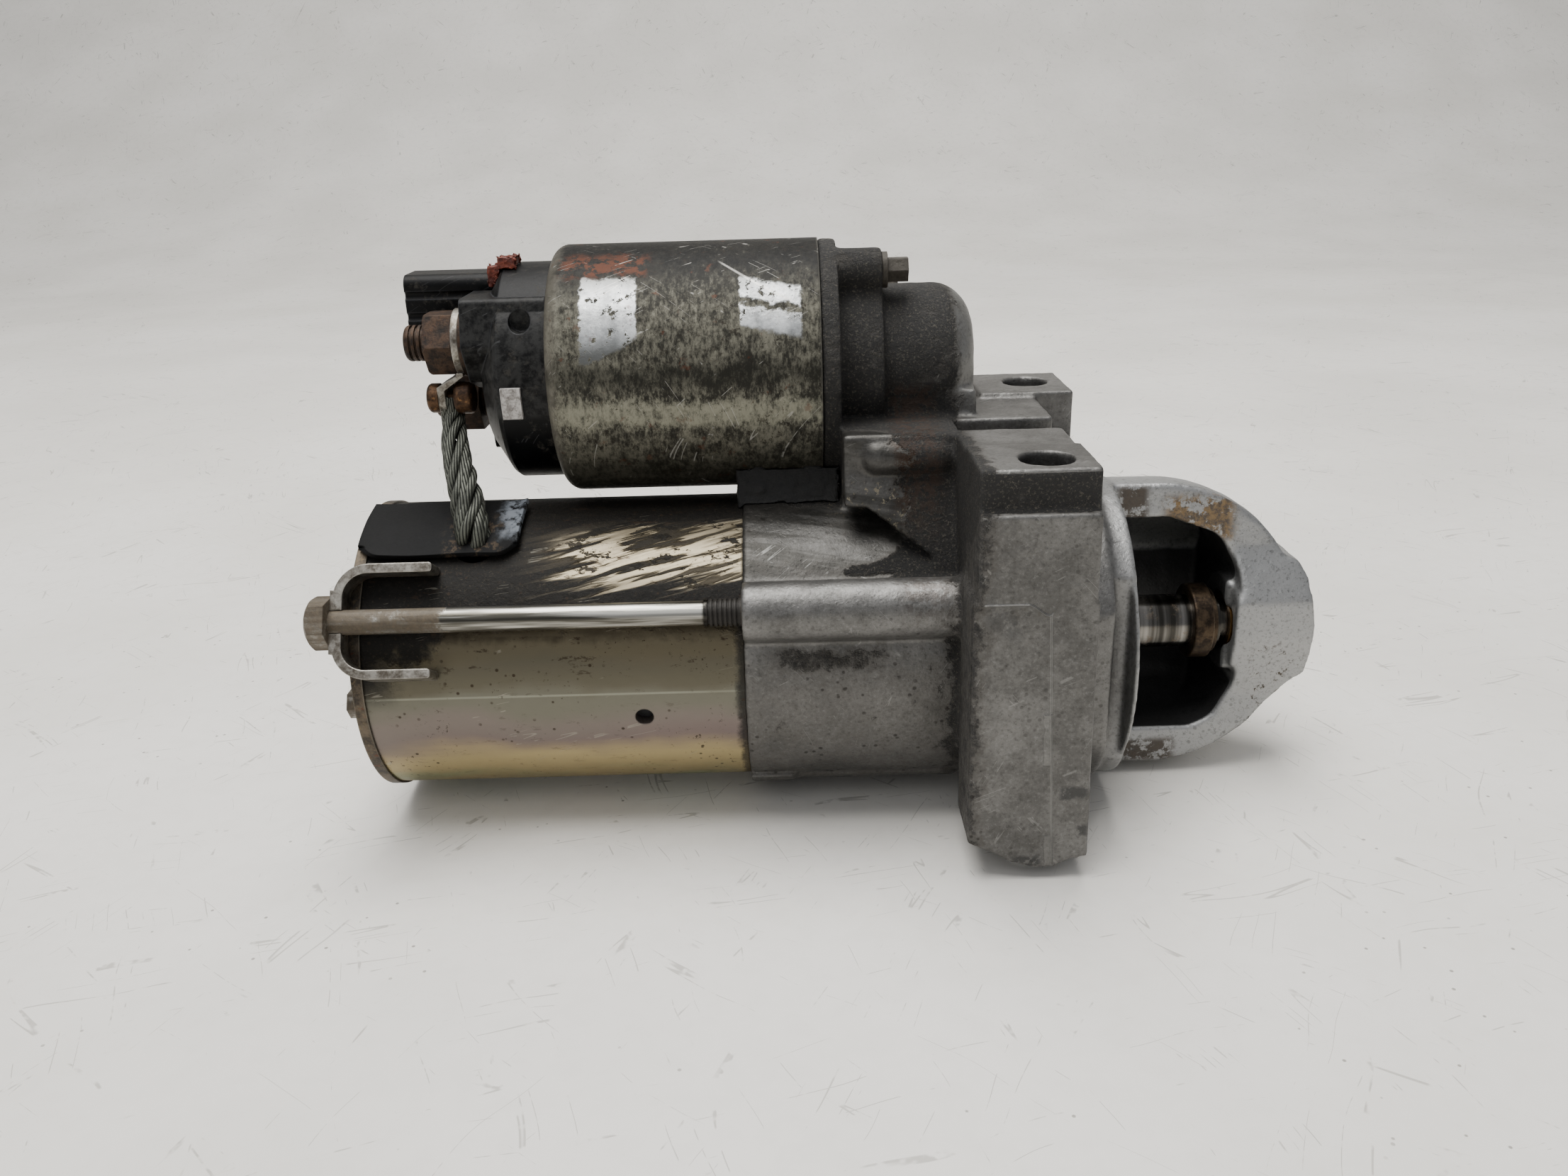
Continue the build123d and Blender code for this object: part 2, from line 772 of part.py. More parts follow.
def stud_places():
    """(y, z) of the motor stud and of the battery stud opposite it."""
    return ((motor_stud_y, motor_stud_z), (2 * coil_y - motor_stud_y, 2 * coil_z - motor_stud_z))


def solenoid_cap():
    """Black moulded cap with a raised block round each stud."""
    profile = [(-116.4, 0), (-116.4, 17.4), (-112.4, 23.8), (-111.4, 24.5), (-98.3, 24.5), (-98.3, 0)]
    body = at_coil(turned(profile))
    near_block = [(-1.4, 79.6), (-4.4, 69.6), (0.5, 61.4), (9, 58.5), (16, 61), (17, 72), (14.8, 79.6)]
    far_block = [(2 * coil_y - y, 2 * coil_z - z) for y, z in near_block]
    top = fillet(prism(near_block, block_face, can_rear).edges().filter_by(Axis.X), 1.5)
    low = fillet(prism(far_block, block_face, can_rear).edges().filter_by(Axis.X), 1.5)
    body += top + low
    body -= at_coil(rod(21.5, -112.2, -97))
    body -= at_coil(rod(3.2, -115.2, -112))
    dimple = Pos(-106.4, -4.0, 75.0) * Rot(90, 0, 0) * Cylinder(2.4, 4)
    body -= dimple
    for y, z in stud_places():
        body -= rod(terminal_radius + 0.02, -125, -110, y, z)
    y, z = blade_place
    body -= block(-118, -110, y - 0.5, y + 0.5, z - 3.3, z + 3.3)
    return body


blade_place = (22.4, 76.0)


def cap_clips():
    """Two tabs that lock the cap."""
    clips = [
        sector(25.7, 24.55, -110.9, -106.6, angle, 15.4)
        for angle in (185.6, 5.6)
    ]
    return group(at_coil(clip) for clip in clips)


def threaded_stud(y, z):
    body = rod(terminal_radius, stud_end, -112.2, y, z)
    body = round_rear(body, 1.0)
    for turn in range(4):
        x = stud_end + 1.3 + 1.25 * turn
        body -= tube(5, terminal_radius - 0.55, x, x + 0.6, y, z)
    return body + rod(5.6, -112.2, -110.2, y, z)


def stud_nuts():
    nuts = []
    for y, z in stud_places():
        nut = hexagon_rod(13, -129.0, -122.7, y, z) & Pos(-124.4, y, z) * Sphere(8.4)
        nuts.append(nut - rod(terminal_radius + 0.02, -130, -122, y, z))
    return group(nuts)


def stud_washers():
    washers = []
    for y, z in stud_places():
        washers.append(tube(7.6, terminal_radius + 0.1, -121.0, block_face, y, z))
    return group(washers)


def connector_shell():
    """Ribbed oval plug housing, open at the rear."""
    y, z = blade_place
    body = block(-136, -111.9, y - 6.6, y + 6.6, z - 6.8, z + 7.0)
    body = fillet(body.edges().filter_by(Axis.X), 2.6)
    for height in (-2.2, 2.6):
        body -= rod(1.0, -137, -114, y - 7.0, z + height)
        body -= rod(1.0, -137, -114, y + 7.0, z + height)
    body -= block(-137, -119, y - 4.8, y + 4.8, z - 5.0, z + 5.2)
    body -= block(-120, -111, y - 0.5, y + 0.5, z - 3.3, z + 3.3)
    y, z = stud_places()[0]
    body -= rod(8.2, -119.4, -111, y, z)
    return body - connector_neighbour()


def connector_neighbour():
    """Room for the cap and the near stud block under the plug housing."""
    near_block = [(-1.4, 79.6), (-4.4, 69.6), (0.5, 61.4), (9, 58.5), (16, 61), (17, 72), (14.8, 79.6)]
    return at_coil(rod(17.6, -116.42, -110)) + prism(near_block, block_face - 0.1, -110) + cap_taper()


def cap_taper():
    profile = [(-116.4, 0), (-116.4, 17.4), (-112.4, 23.8), (-111.4, 24.5), (-98.3, 24.5), (-98.3, 0)]
    return at_coil(turned(profile))


def connector_blade():
    y, z = blade_place
    return block(-130, -113.0, y - 0.4, y + 0.4, z - 3.15, z + 3.15)


def solenoid_screws():
    screws = []
    for angle in screw_angles:
        y, z = polar(screw_circle, angle)
        y, z = coil_y + y, coil_z + z
        screw = rod(2.25, -45.7, -27.9, y, z) + rod(3.9, -27.9, -26.7, y, z)
        screws.append(screw + hexagon_rod(5.0, -26.7, -22.1, y, z))
    return group(screws)


# ---------------------------------------------------------------- lead and seals
strap_back = -122.6
strap_front = -121.1
foot_back = -127.3
foot_front = -125.7
rivet_y = 4.2
rivet_z = 57.4


def terminal_strap():
    """Bent steel tag: an eye under the motor nut and a foot that holds the lead."""
    y, z = stud_places()[0]
    bend = z - 6.6
    eye = rod(7.4, strap_back, strap_front, y, z) & block(-130, -110, y - 9, y + 9, bend - 0.1, z + 9)
    profile = [
        (strap_back, bend + 0.6),
        (strap_back, bend),
        (foot_back, rivet_z + 2.8),
        (foot_back, rivet_z - 3.2),
        (foot_front, rivet_z - 3.2),
        (foot_front, rivet_z + 2.1),
        (strap_front, bend - 0.1),
        (strap_front, bend + 0.6),
    ]
    face = make_face(Polyline(*profile, close=True))
    arm = extrude(Plane.XZ.offset(-y - 3.7) * face, 9.4)
    corners = arm.edges().filter_by(Axis.X).sort_by(Axis.Z)[:2]
    body = eye + fillet(corners, 2.4)
    body -= rod(terminal_radius + 0.1, -124, -120, y, z)
    return body - rod(1.55, foot_back - 1, foot_front + 1, rivet_y, rivet_z)


def strap_rivet():
    head = round_rear(rod(3.3, foot_back - 2.7, foot_back, rivet_y, rivet_z), 1.0)
    return head + rod(1.5, foot_back, -123.9, rivet_y, rivet_z)


def lead_ferrule():
    collar = rod(3.6, -123.8, -119.7, rivet_y - 0.4, rivet_z)
    return round_front(round_rear(collar, 1.0), 1.0)


def motor_lead():
    """Braided lead from the strap foot through the flap into the case."""
    points = [
        (-124.8, 3.2, 52.8),
        (-124.0, -0.6, 49.2),
        (-122.3, -6.0, 44.3),
        (-120.6, -10.0, 40.2),
        (-119.3, -13.8, 35.8),
        (-118.5, -16.2, 31.6),
        (-118.3, -15.4, 28.2),
        (-118.3, -13.6, 24.8),
    ]
    path = Spline(*points, tangents=((0, -0.1, -1), (0, 0.48, -0.87)))
    section = Plane(origin=path @ 0, z_dir=path % 0) * Circle(3.2)
    flat_end = block(-125.6, -124.0, rivet_y - 3.2, rivet_y + 3.2, 51.0, rivet_z + 1.8)
    return sweep(section, path=path) + flat_end - rod(1.6, -130, -120, rivet_y, rivet_z)


def lead_flap():
    """Curved rubber pad on the case under the lead."""
    body = tube(35.0, cap_rim_radius + 0.03, case_rear - 2.4, -108)
    first = polar(60, 93.6)
    last = polar(60, 127.8)
    body &= prism([(0, 0), first, last], -150, -100)
    corners = body.edges().filter_by(GeomType.LINE).filter_by(lambda edge: abs(edge.tangent_at(0.5).X) < 0.1)
    body = fillet(corners.sort_by(Axis.X)[-2:], 4.5)
    return body - radial_hole(5.0, lead_x, lead_angle - 1)


def seal_block():
    """Rubber block wedged between the solenoid can and the gear housing."""
    plane = Plane(origin=(0, 0, 0), x_dir=(1, 0, 0), z_dir=(0, -up_z, up_y))
    body = plane * Pos(-50.0, 36, 8.6) * Box(23.2, 22, 12.4)
    body -= at_coil(rod(can_radius + 0.05, -70, -30))
    body -= rod(barrel_radius + 0.05, case_front - 0.05, -30)
    body -= rod(case_radius + 0.05, -80, -30)
    return body


def sealant_bead():
    """Line of sealant in the corner of the plug housing."""
    lower = block(-115.6, -112.6, 10.4, 15.0, 80.4, 85.2) - cap_taper()
    upper = block(-112.9, -108.6, 9.4, 15.2, 84.0, 87.2) - at_coil(rod(24.55, -120, -100))
    return lower + upper


# ---------------------------------------------------------------- write the parts
os.makedirs("parts", exist_ok=True)

nodes = {
    "drive_end_housing": drive_end_housing(),
    "field_case": field_case(),
    "rear_end_cap": rear_end_cap(),
    "end_cap_screws": end_cap_screws(),
    "through_bolts": through_bolts(),
    "bolt_brackets": bolt_brackets(),
    "field_magnets": field_magnets(),
    "armature_shaft": armature_shaft(),
    "armature_core": armature_core(),
    "armature_winding": armature_winding(),
    "commutator": commutator(),
    "rear_bush": rear_bush(),
    "brush_holder": brush_holder(),
    "brushes": brushes(),
    "brush_springs": brush_springs(),
    "gear_shield": gear_shield(),
    "ring_gear": ring_gear(),
    "centre_plate": centre_plate(),
    "centre_bush": centre_bush(),
    "output_shaft": output_shaft(),
    "clutch_shell": clutch_shell(),
    "clutch_rollers": clutch_rollers(),
    "clutch_cover": clutch_cover(),
    "pinion": pinion(),
    "stop_collar": stop_collar(),
    "retaining_ring": retaining_ring(),
    "nose_bush": nose_bush(),
    "shift_lever": shift_lever(),
    "lever_pin": lever_pin(),
    "solenoid_can": solenoid_can(),
    "solenoid_core": solenoid_core(),
    "coil_bobbin": coil_bobbin(),
    "coil_winding": coil_winding(),
    "plunger": plunger(),
    "plunger_spring": plunger_spring(),
    "contact_disc": contact_disc(),
    "contact_spring": contact_spring(),
    "solenoid_cap": solenoid_cap(),
    "cap_clips": cap_clips(),
    "motor_stud": threaded_stud(*stud_places()[0]),
    "battery_stud": threaded_stud(*stud_places()[1]),
    "stud_nuts": stud_nuts(),
    "stud_washers": stud_washers(),
    "connector_shell": connector_shell(),
    "connector_blade": connector_blade(),
    "solenoid_screws": solenoid_screws(),
    "terminal_strap": terminal_strap(),
    "strap_rivet": strap_rivet(),
    "lead_ferrule": lead_ferrule(),
    "motor_lead": motor_lead(),
    "lead_flap": lead_flap(),
    "seal_block": seal_block(),
    "sealant_bead": sealant_bead(),
}
for index, position in enumerate(planet_angles(), start=1):
    nodes[f"planet_gear_{index}"] = planet_gear(position)

for name, body in nodes.items():
    save(name, body)
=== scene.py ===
import bmesh
import bpy
import json
import math
import random
from mathutils import Matrix, Vector, noise


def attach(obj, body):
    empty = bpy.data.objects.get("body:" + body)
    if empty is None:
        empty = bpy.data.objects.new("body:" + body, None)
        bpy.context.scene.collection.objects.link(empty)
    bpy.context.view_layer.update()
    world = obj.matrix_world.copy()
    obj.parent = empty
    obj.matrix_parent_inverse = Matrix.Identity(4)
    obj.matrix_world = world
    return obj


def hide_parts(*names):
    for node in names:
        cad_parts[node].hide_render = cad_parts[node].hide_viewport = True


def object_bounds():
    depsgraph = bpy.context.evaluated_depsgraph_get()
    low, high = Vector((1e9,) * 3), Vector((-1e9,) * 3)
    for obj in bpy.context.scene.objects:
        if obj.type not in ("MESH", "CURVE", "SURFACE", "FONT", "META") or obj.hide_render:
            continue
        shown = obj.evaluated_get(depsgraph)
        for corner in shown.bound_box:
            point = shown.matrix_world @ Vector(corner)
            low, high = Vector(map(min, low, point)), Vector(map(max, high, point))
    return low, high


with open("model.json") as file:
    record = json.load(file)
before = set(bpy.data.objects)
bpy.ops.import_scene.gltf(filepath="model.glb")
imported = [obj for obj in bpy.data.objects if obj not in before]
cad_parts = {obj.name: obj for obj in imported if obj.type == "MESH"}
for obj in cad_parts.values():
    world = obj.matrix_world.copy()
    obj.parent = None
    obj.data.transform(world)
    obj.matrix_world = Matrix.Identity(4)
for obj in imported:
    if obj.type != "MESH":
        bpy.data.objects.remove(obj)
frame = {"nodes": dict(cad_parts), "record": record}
cad_box = [list(corner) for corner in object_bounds()]

# Places are in metres in the row frame unless a name says otherwise.
MM = 0.001
MOTOR_AXIS = Vector((0.0, 41.3, -52.0))
COIL_Y, COIL_Z = 16.3, 60.8
random.seed(7)


def at(x, y, z):
    """A place given in millimetres about the motor axis, as metres in the row frame."""
    return (Vector((x, y, z)) + MOTOR_AXIS) * MM


def srgb(red, green, blue):
    """Linear colour from 0-255 display values."""
    return tuple((value / 255) ** 2.2 for value in (red, green, blue))


# ------------------------------------------------------------------ material builder
class Paint:
    """Builds one procedural material; its lengths are millimetres about the motor axis."""

    def __init__(self, name):
        self.material = bpy.data.materials.new(name)
        self.material.use_nodes = True
        self.tree = self.material.node_tree
        self.shader = self.tree.nodes["Principled BSDF"]
        self.draws = 0
        raw = self.node("ShaderNodeTexCoord").outputs["Object"]
        self.place = self.vector("SUBTRACT", self.vector("SCALE", raw, scale=1000.0), MOTOR_AXIS)
        parts = self.node("ShaderNodeSeparateXYZ")
        self.tree.links.new(self.place, parts.inputs[0])
        self.x, self.y, self.z = parts.outputs
        self.under = None

    def node(self, kind, **settings):
        made = self.tree.nodes.new(kind)
        for key, value in settings.items():
            setattr(made, key, value)
        return made

    def feed(self, socket, value):
        if isinstance(value, bpy.types.NodeSocket):
            self.tree.links.new(value, socket)
        elif socket.type == "RGBA":
            socket.default_value = (*value, 1.0)
        else:
            socket.default_value = value

    def math(self, operation, a, b=0.0, c=0.0, clamp=False):
        made = self.node("ShaderNodeMath", operation=operation, use_clamp=clamp)
        for socket, value in zip(made.inputs, (a, b, c)):
            self.feed(socket, value)
        return made.outputs[0]

    def vector(self, operation, a, b=None, scale=None):
        made = self.node("ShaderNodeVectorMath", operation=operation)
        self.feed(made.inputs[0], a)
        if b is not None:
            self.feed(made.inputs[1], b)
        if scale is not None:
            made.inputs["Scale"].default_value = scale
        return made.outputs["Value" if operation == "DOT_PRODUCT" else "Vector"]

    def spread(self, stretch):
        """The place, moved by a new offset for each call and stretched along each axis."""
        self.draws += 1
        shift = Vector((31.7, 57.3, 11.9)) * self.draws
        moved = self.vector("ADD", self.place, shift)
        return self.vector("MULTIPLY", moved, stretch) if stretch else moved

    def noise(self, size, detail=3.0, rough=0.55, twist=0.0, stretch=None):
        made = self.node("ShaderNodeTexNoise")
        self.feed(made.inputs["Vector"], self.spread(stretch))
        made.inputs["Scale"].default_value = 1.0 / size
        made.inputs["Detail"].default_value = detail
        made.inputs["Roughness"].default_value = rough
        made.inputs["Distortion"].default_value = twist
        return made.outputs["Fac"]

    def cells(self, size, feature="F1", stretch=None):
        made = self.node("ShaderNodeTexVoronoi", feature=feature)
        self.feed(made.inputs["Vector"], self.spread(stretch))
        made.inputs["Scale"].default_value = 1.0 / size
        return made.outputs["Distance"]

    def ramp(self, value, low, high, start=0.0, end=1.0):
        made = self.node("ShaderNodeMapRange", interpolation_type="SMOOTHSTEP", clamp=True)
        for key, item in (("Value", value), ("From Min", low), ("From Max", high), ("To Min", start), ("To Max", end)):
            self.feed(made.inputs[key], item)
        return made.outputs["Result"]

    def mix(self, share, a, b):
        made = self.node("ShaderNodeMix", data_type="RGBA", clamp_factor=True)
        self.feed(made.inputs["Factor"], share)
        self.feed(made.inputs[6], a)
        self.feed(made.inputs[7], b)
        return made.outputs[2]

    def blend(self, share, a, b):
        made = self.node("ShaderNodeMix", data_type="FLOAT", clamp_factor=True)
        self.feed(made.inputs["Factor"], share)
        self.feed(made.inputs[2], a)
        self.feed(made.inputs[3], b)
        return made.outputs[0]

    def add(self, *values):
        total = values[0]
        for value in values[1:]:
            total = self.math("ADD", total, value)
        return total

    def times(self, *values):
        total = values[0]
        for value in values[1:]:
            total = self.math("MULTIPLY", total, value)
        return total

    def either(self, *values):
        total = values[0]
        for value in values[1:]:
            total = self.math("MAXIMUM", total, value)
        return total

    def window(self, value, low, high, soft):
        """1 between low and high, fading over soft at each side."""
        return self.times(self.ramp(value, low - soft, low + soft), self.ramp(value, high + soft, high - soft))

    def ragged(self, value, amount, size):
        """A value whose level lines wander."""
        return self.add(value, self.times(self.math("SUBTRACT", self.noise(size, 5.0, 0.65), 0.5), amount))

    def turn(self, y=0.0, z=0.0):
        """Degrees up round an axis along X, from either side (0) to the top (90)."""
        rise = self.math("SUBTRACT", self.z, z)
        back = self.math("ABSOLUTE", self.math("SUBTRACT", y, self.y))
        return self.math("MULTIPLY", self.math("ARCTAN2", rise, back), 180 / math.pi)

    def hollow(self, reach, samples=6):
        """1 in corners and crevices, 0 in the open."""
        made = self.node("ShaderNodeAmbientOcclusion", samples=samples)
        made.inputs["Distance"].default_value = reach * MM
        return self.math("SUBTRACT", 1.0, made.outputs["AO"])

    def edges(self, radius, low=0.9, high=0.995, rounded=True):
        """1 on sharp edges; also rounds them for light."""
        bevel = self.node("ShaderNodeBevel", samples=4)
        bevel.inputs["Radius"].default_value = radius * MM
        flat = self.node("ShaderNodeNewGeometry").outputs["Normal"]
        if rounded:
            self.under = bevel.outputs["Normal"]
        return self.ramp(self.vector("DOT_PRODUCT", bevel.outputs["Normal"], flat), high, low)

    def bump(self, height, depth, strength=1.0):
        """Adds relief, depth in millimetres."""
        made = self.node("ShaderNodeBump")
        made.inputs["Strength"].default_value = strength
        made.inputs["Distance"].default_value = depth * MM
        self.feed(made.inputs["Height"], height)
        if self.under is not None:
            self.feed(made.inputs["Normal"], self.under)
        self.under = made.outputs["Normal"]

    def inner_radius(self, bore):
        """1 on surfaces closer to the motor axis than the bore."""
        radius = self.math("SQRT", self.add(self.times(self.y, self.y), self.times(self.z, self.z)))
        return self.ramp(radius, bore + 0.4, bore - 0.2)

    def brushed(self, angle, spacing, detail=1.5, pull=0.05):
        """Noise drawn out along a direction at an angle from the motor axis."""
        lean, rise = math.cos(math.radians(angle)), math.sin(math.radians(angle))
        along = self.add(self.times(self.x, lean), self.times(self.z, rise), self.times(self.y, 0.3))
        across = self.add(self.times(self.x, -rise), self.times(self.z, lean), self.times(self.y, 0.9))
        joined = self.node("ShaderNodeCombineXYZ")
        self.feed(joined.inputs[0], self.times(along, pull))
        self.feed(joined.inputs[1], across)
        self.draws += 1
        joined.inputs[2].default_value = self.draws * 17.3
        made = self.node("ShaderNodeTexNoise")
        self.feed(made.inputs["Vector"], joined.outputs[0])
        made.inputs["Scale"].default_value = 1.0 / spacing
        made.inputs["Detail"].default_value = detail
        return made.outputs["Fac"]

    def scratches(self, angle, spacing, thin, share, patch=7.0):
        """Thin, nearly straight lines at an angle from the motor axis; only a share of each shows."""
        line = self.math("ABSOLUTE", self.math("SUBTRACT", self.brushed(angle, spacing), 0.5))
        keep = self.ramp(self.noise(patch, 3.0, 0.6), 0.72 - share, 0.76 - share)
        return self.times(self.ramp(line, thin, thin * 0.3), keep)

    def finish(self, color, rough, metal=0.0, **more):
        self.feed(self.shader.inputs["Base Color"], color)
        self.feed(self.shader.inputs["Roughness"], rough)
        self.feed(self.shader.inputs["Metallic"], metal)
        for key, value in more.items():
            self.feed(self.shader.inputs[key.replace("_", " ")], value)
        if self.under is not None:
            self.feed(self.shader.inputs["Normal"], self.under)
        return self.material


OIL = srgb(34, 30, 27)
RUST = srgb(92, 50, 30)
CAST_DARK = srgb(82, 81, 79)
CAST_LIGHT = srgb(112, 111, 109)


# ------------------------------------------------------------------ cast housing
def cast_alloy():
    p = Paint("cast_alloy")
    edge = p.edges(0.8, 0.8, 0.985)
    grain = p.noise(0.8, 4.0, 0.75)
    broad = p.noise(24.0, 4.0, 0.6)
    blotch = p.noise(6.0, 6.0, 0.72)
    fine = p.noise(1.5, 5.0, 0.75)
    sand = p.noise(0.55, 3.0, 0.8)
    crevice = p.hollow(8.0)
    turn = p.turn()
    coil_turn = p.turn(COIL_Y, COIL_Z)
    wander = p.times(p.math("SUBTRACT", p.noise(5.0, 6.0, 0.72), 0.5), 12)
    far_x = p.add(p.x, wander)
    far_z = p.add(p.z, wander)

    # clean metal, mottled grey
    tone = p.mix(p.ramp(p.add(p.times(broad, 0.5), p.times(blotch, 0.5)), 0.36, 0.64), CAST_DARK, CAST_LIGHT)
    tone = p.mix(p.times(p.ramp(p.x, 16, 26), 0.7), tone, srgb(168, 169, 169))
    tone = p.mix(p.times(p.ramp(p.z, 50, 56), p.ramp(p.x, -4, -7), 0.5), tone, srgb(138, 138, 135))
    tone = p.mix(p.times(p.ramp(grain, 0.5, 0.7), 0.5), tone, srgb(56, 55, 53))
    tone = p.mix(p.times(p.ramp(grain, 0.46, 0.34), 0.22), tone, srgb(140, 140, 139))

    smear = p.ramp(p.brushed(-14, 2.6, 4.0, 0.12), 0.36, 0.62)
    tone = p.mix(p.times(p.window(p.x, -62, -12, 1), p.ramp(turn, 36, 46), p.ramp(smear, 0, 1, 0.5, 0.85)), tone, srgb(46, 45, 42))

    # how dirty each part of the casting is, from 0 to 1
    on_barrel = p.times(p.ramp(p.x, -63, -60), p.ramp(far_x, -9, -15))
    upper_barrel = p.times(on_barrel, p.ramp(p.add(turn, p.times(wander, 1.6)), 34, 58), p.ramp(p.x, -56, -38, 0.3, 1.0))
    wiped_x = p.times(p.math("SUBTRACT", far_x, -40), 1 / 17)
    wiped_turn = p.times(p.math("SUBTRACT", p.add(turn, wander), 61), 1 / 17)
    wiped = p.ramp(p.add(p.times(wiped_x, wiped_x), p.times(wiped_turn, wiped_turn)), 1.15, 0.7)
    lower_barrel = p.times(on_barrel, p.ramp(p.add(turn, wander), 20, 4), 0.42)
    over_ridge = p.times(p.ramp(p.add(far_x, p.times(p.add(turn, -60), -0.22)), -27, -19), p.ramp(turn, 36, 42))
    corner = p.times(p.either(p.times(over_ridge, 1.25), p.times(p.ramp(far_x, -19, -15), 0.85)), on_barrel)
    under_ridge = p.times(p.window(p.add(turn, wander), 7, 16, 3), p.window(far_x, -54, -30, 6), 0.8, on_barrel)
    leg_recess = p.times(p.ramp(p.z, 43.6, 44.2), p.ramp(p.z, 51.7, 51.2), p.ramp(p.y, -46, -48), 1.2)
    at_wall = p.times(p.ramp(p.z, 51.4, 50.6), p.ramp(p.x, -13, -14), p.ramp(p.x, -39, -38))
    low_wall = p.times(at_wall, p.ramp(p.y, -15, -16.5), p.ramp(turn, 40, 46), p.ramp(p.z, 43, 40, 1.15, 1.5))
    deck = p.times(p.ramp(p.z, 40, 43), p.ramp(p.z, 53, 50), p.ramp(far_x, -8, -18), 0.5)
    bell = p.times(p.ramp(p.x, -29, -27), p.ramp(p.z, 45, 52), p.ramp(p.x, -6, -8), 0.08)
    tier = p.times(p.window(p.x, -38.5, -28, 0.6), p.ramp(p.z, 46, 50), 0.12)
    flange_low = p.times(p.window(p.x, -43, -36, 0.8), p.window(far_z, 35, 52, 3), p.ramp(p.y, 22, 10), 0.8)
    far = p.times(p.ramp(p.y, 16, 34), 0.2)
    zone = p.either(upper_barrel, lower_barrel, corner, under_ridge, leg_recess, low_wall, deck, bell, tier, flange_low, far)
    zone = p.times(zone, p.math("SUBTRACT", 1.0, p.times(wiped, 0.9)))
    level = p.add(
        p.times(zone, 0.5),
        p.times(crevice, 0.3),
        p.times(blotch, 0.75),
        p.times(fine, 0.4),
        p.times(sand, 0.2),
        -0.86,
    )
    soot = p.ramp(level, 0.12, 0.34)
    film = p.ramp(level, -0.16, 0.2)
    specks = p.times(
        p.ramp(p.cells(2.2), 0.26, 0.14),
        p.ramp(p.noise(9.0, 3.0), 0.46, 0.6),
        p.ramp(zone, 0.1, 0.5, 0.45, 1.0),
    )

    # brown stains on the nose and a flaky rust patch on the bell
    face_gap = p.add(p.y, p.times(p.z, -0.089), 5.1)
    nose_place = p.times(p.ramp(p.x, 23.6, 24.4), p.ramp(face_gap, 0.8, 0.3))
    flaky = p.noise(4.2, 6.0, 0.75)
    gold_mask = p.times(
        nose_place,
        p.window(p.x, 36, 52, 2),
        p.window(p.z, 21, 31.5, 1.5),
        p.ramp(flaky, 0.44, 0.5),
    )
    dark_top = p.times(p.window(p.x, 25, 32, 1.2), p.window(p.z, 26, 34, 1))
    dark_low = p.times(p.window(p.x, 25, 41, 1.5), p.window(p.z, -33, -27.5, 1))
    dark_mask = p.times(nose_place, p.either(dark_top, dark_low), p.ramp(p.noise(3.4, 6.0, 0.75), 0.42, 0.5))
    tip_dirt = p.times(p.window(p.x, 57, 69, 3), p.ramp(p.noise(2.6, 6.0, 0.75), 0.56, 0.62), p.ramp(p.z, -1, -5))
    bell_rust = p.times(
        p.window(p.x, -27, -17, 2),
        p.window(coil_turn, -36, -8, 6),
        p.ramp(p.noise(1.6, 4.0, 0.75), 0.44, 0.54),
    )
    chips = p.times(
        p.ramp(p.y, -50.9, -51.2),
        p.either(
            p.times(p.window(p.x, -12.4, -5.6, 1.5), p.window(p.add(p.z, p.times(p.x, 0.5)), 15, 21.6, 1.5), 0.55),
            p.times(p.window(p.x, 4.0, 9.6, 0.7), p.window(p.ragged(p.z, 4, 3), -17.2, -14.2, 0.6)),
            p.times(p.window(p.x, 7.6, 10.0, 0.7), p.window(p.ragged(p.z, 3, 3), -26, -23.4, 0.6)),
            p.times(p.window(p.x, -5.0, 0.6, 0.7), p.window(p.ragged(p.z, 3, 3), -33.6, -30.6, 0.6)),
        ),
        p.ramp(p.noise(2.2, 5.0, 0.72), 0.42, 0.48),
    )

    # the mould line down the leg, with the raised lower left part of its face
    on_leg = p.times(p.ramp(p.y, -50.6, -51.0), p.ramp(p.z, 43, 42))
    seam_x = p.add(p.x, p.times(p.z, 0.048), p.times(p.ramp(p.z, 26, 23), 1.2), -2.6)
    seam = p.times(on_leg, p.ramp(p.math("ABSOLUTE", seam_x), 0.34, 0.12), p.ramp(p.z, 24.5, 23.5))
    shelf = p.add(p.z, p.times(p.ramp(p.x, -4.2, 0.2), 2.4), -25.8)
    shelf_line = p.times(on_leg, p.ramp(p.math("ABSOLUTE", shelf), 0.34, 0.12), p.window(p.x, -12.6, 0.3, 0.3))
    flash = p.times(
        on_leg,
        p.window(p.ragged(seam_x, 1.2, 2.5), -1.5, 0.1, 0.12),
        p.either(p.window(p.ragged(p.z, 5, 3), -9, 2, 0.3), p.window(p.ragged(p.z, 5, 3), -33, -26, 0.3)),
    )
    raised = p.times(on_leg, p.ramp(seam_x, 0.1, -0.1), p.ramp(shelf, 0.1, -0.1))

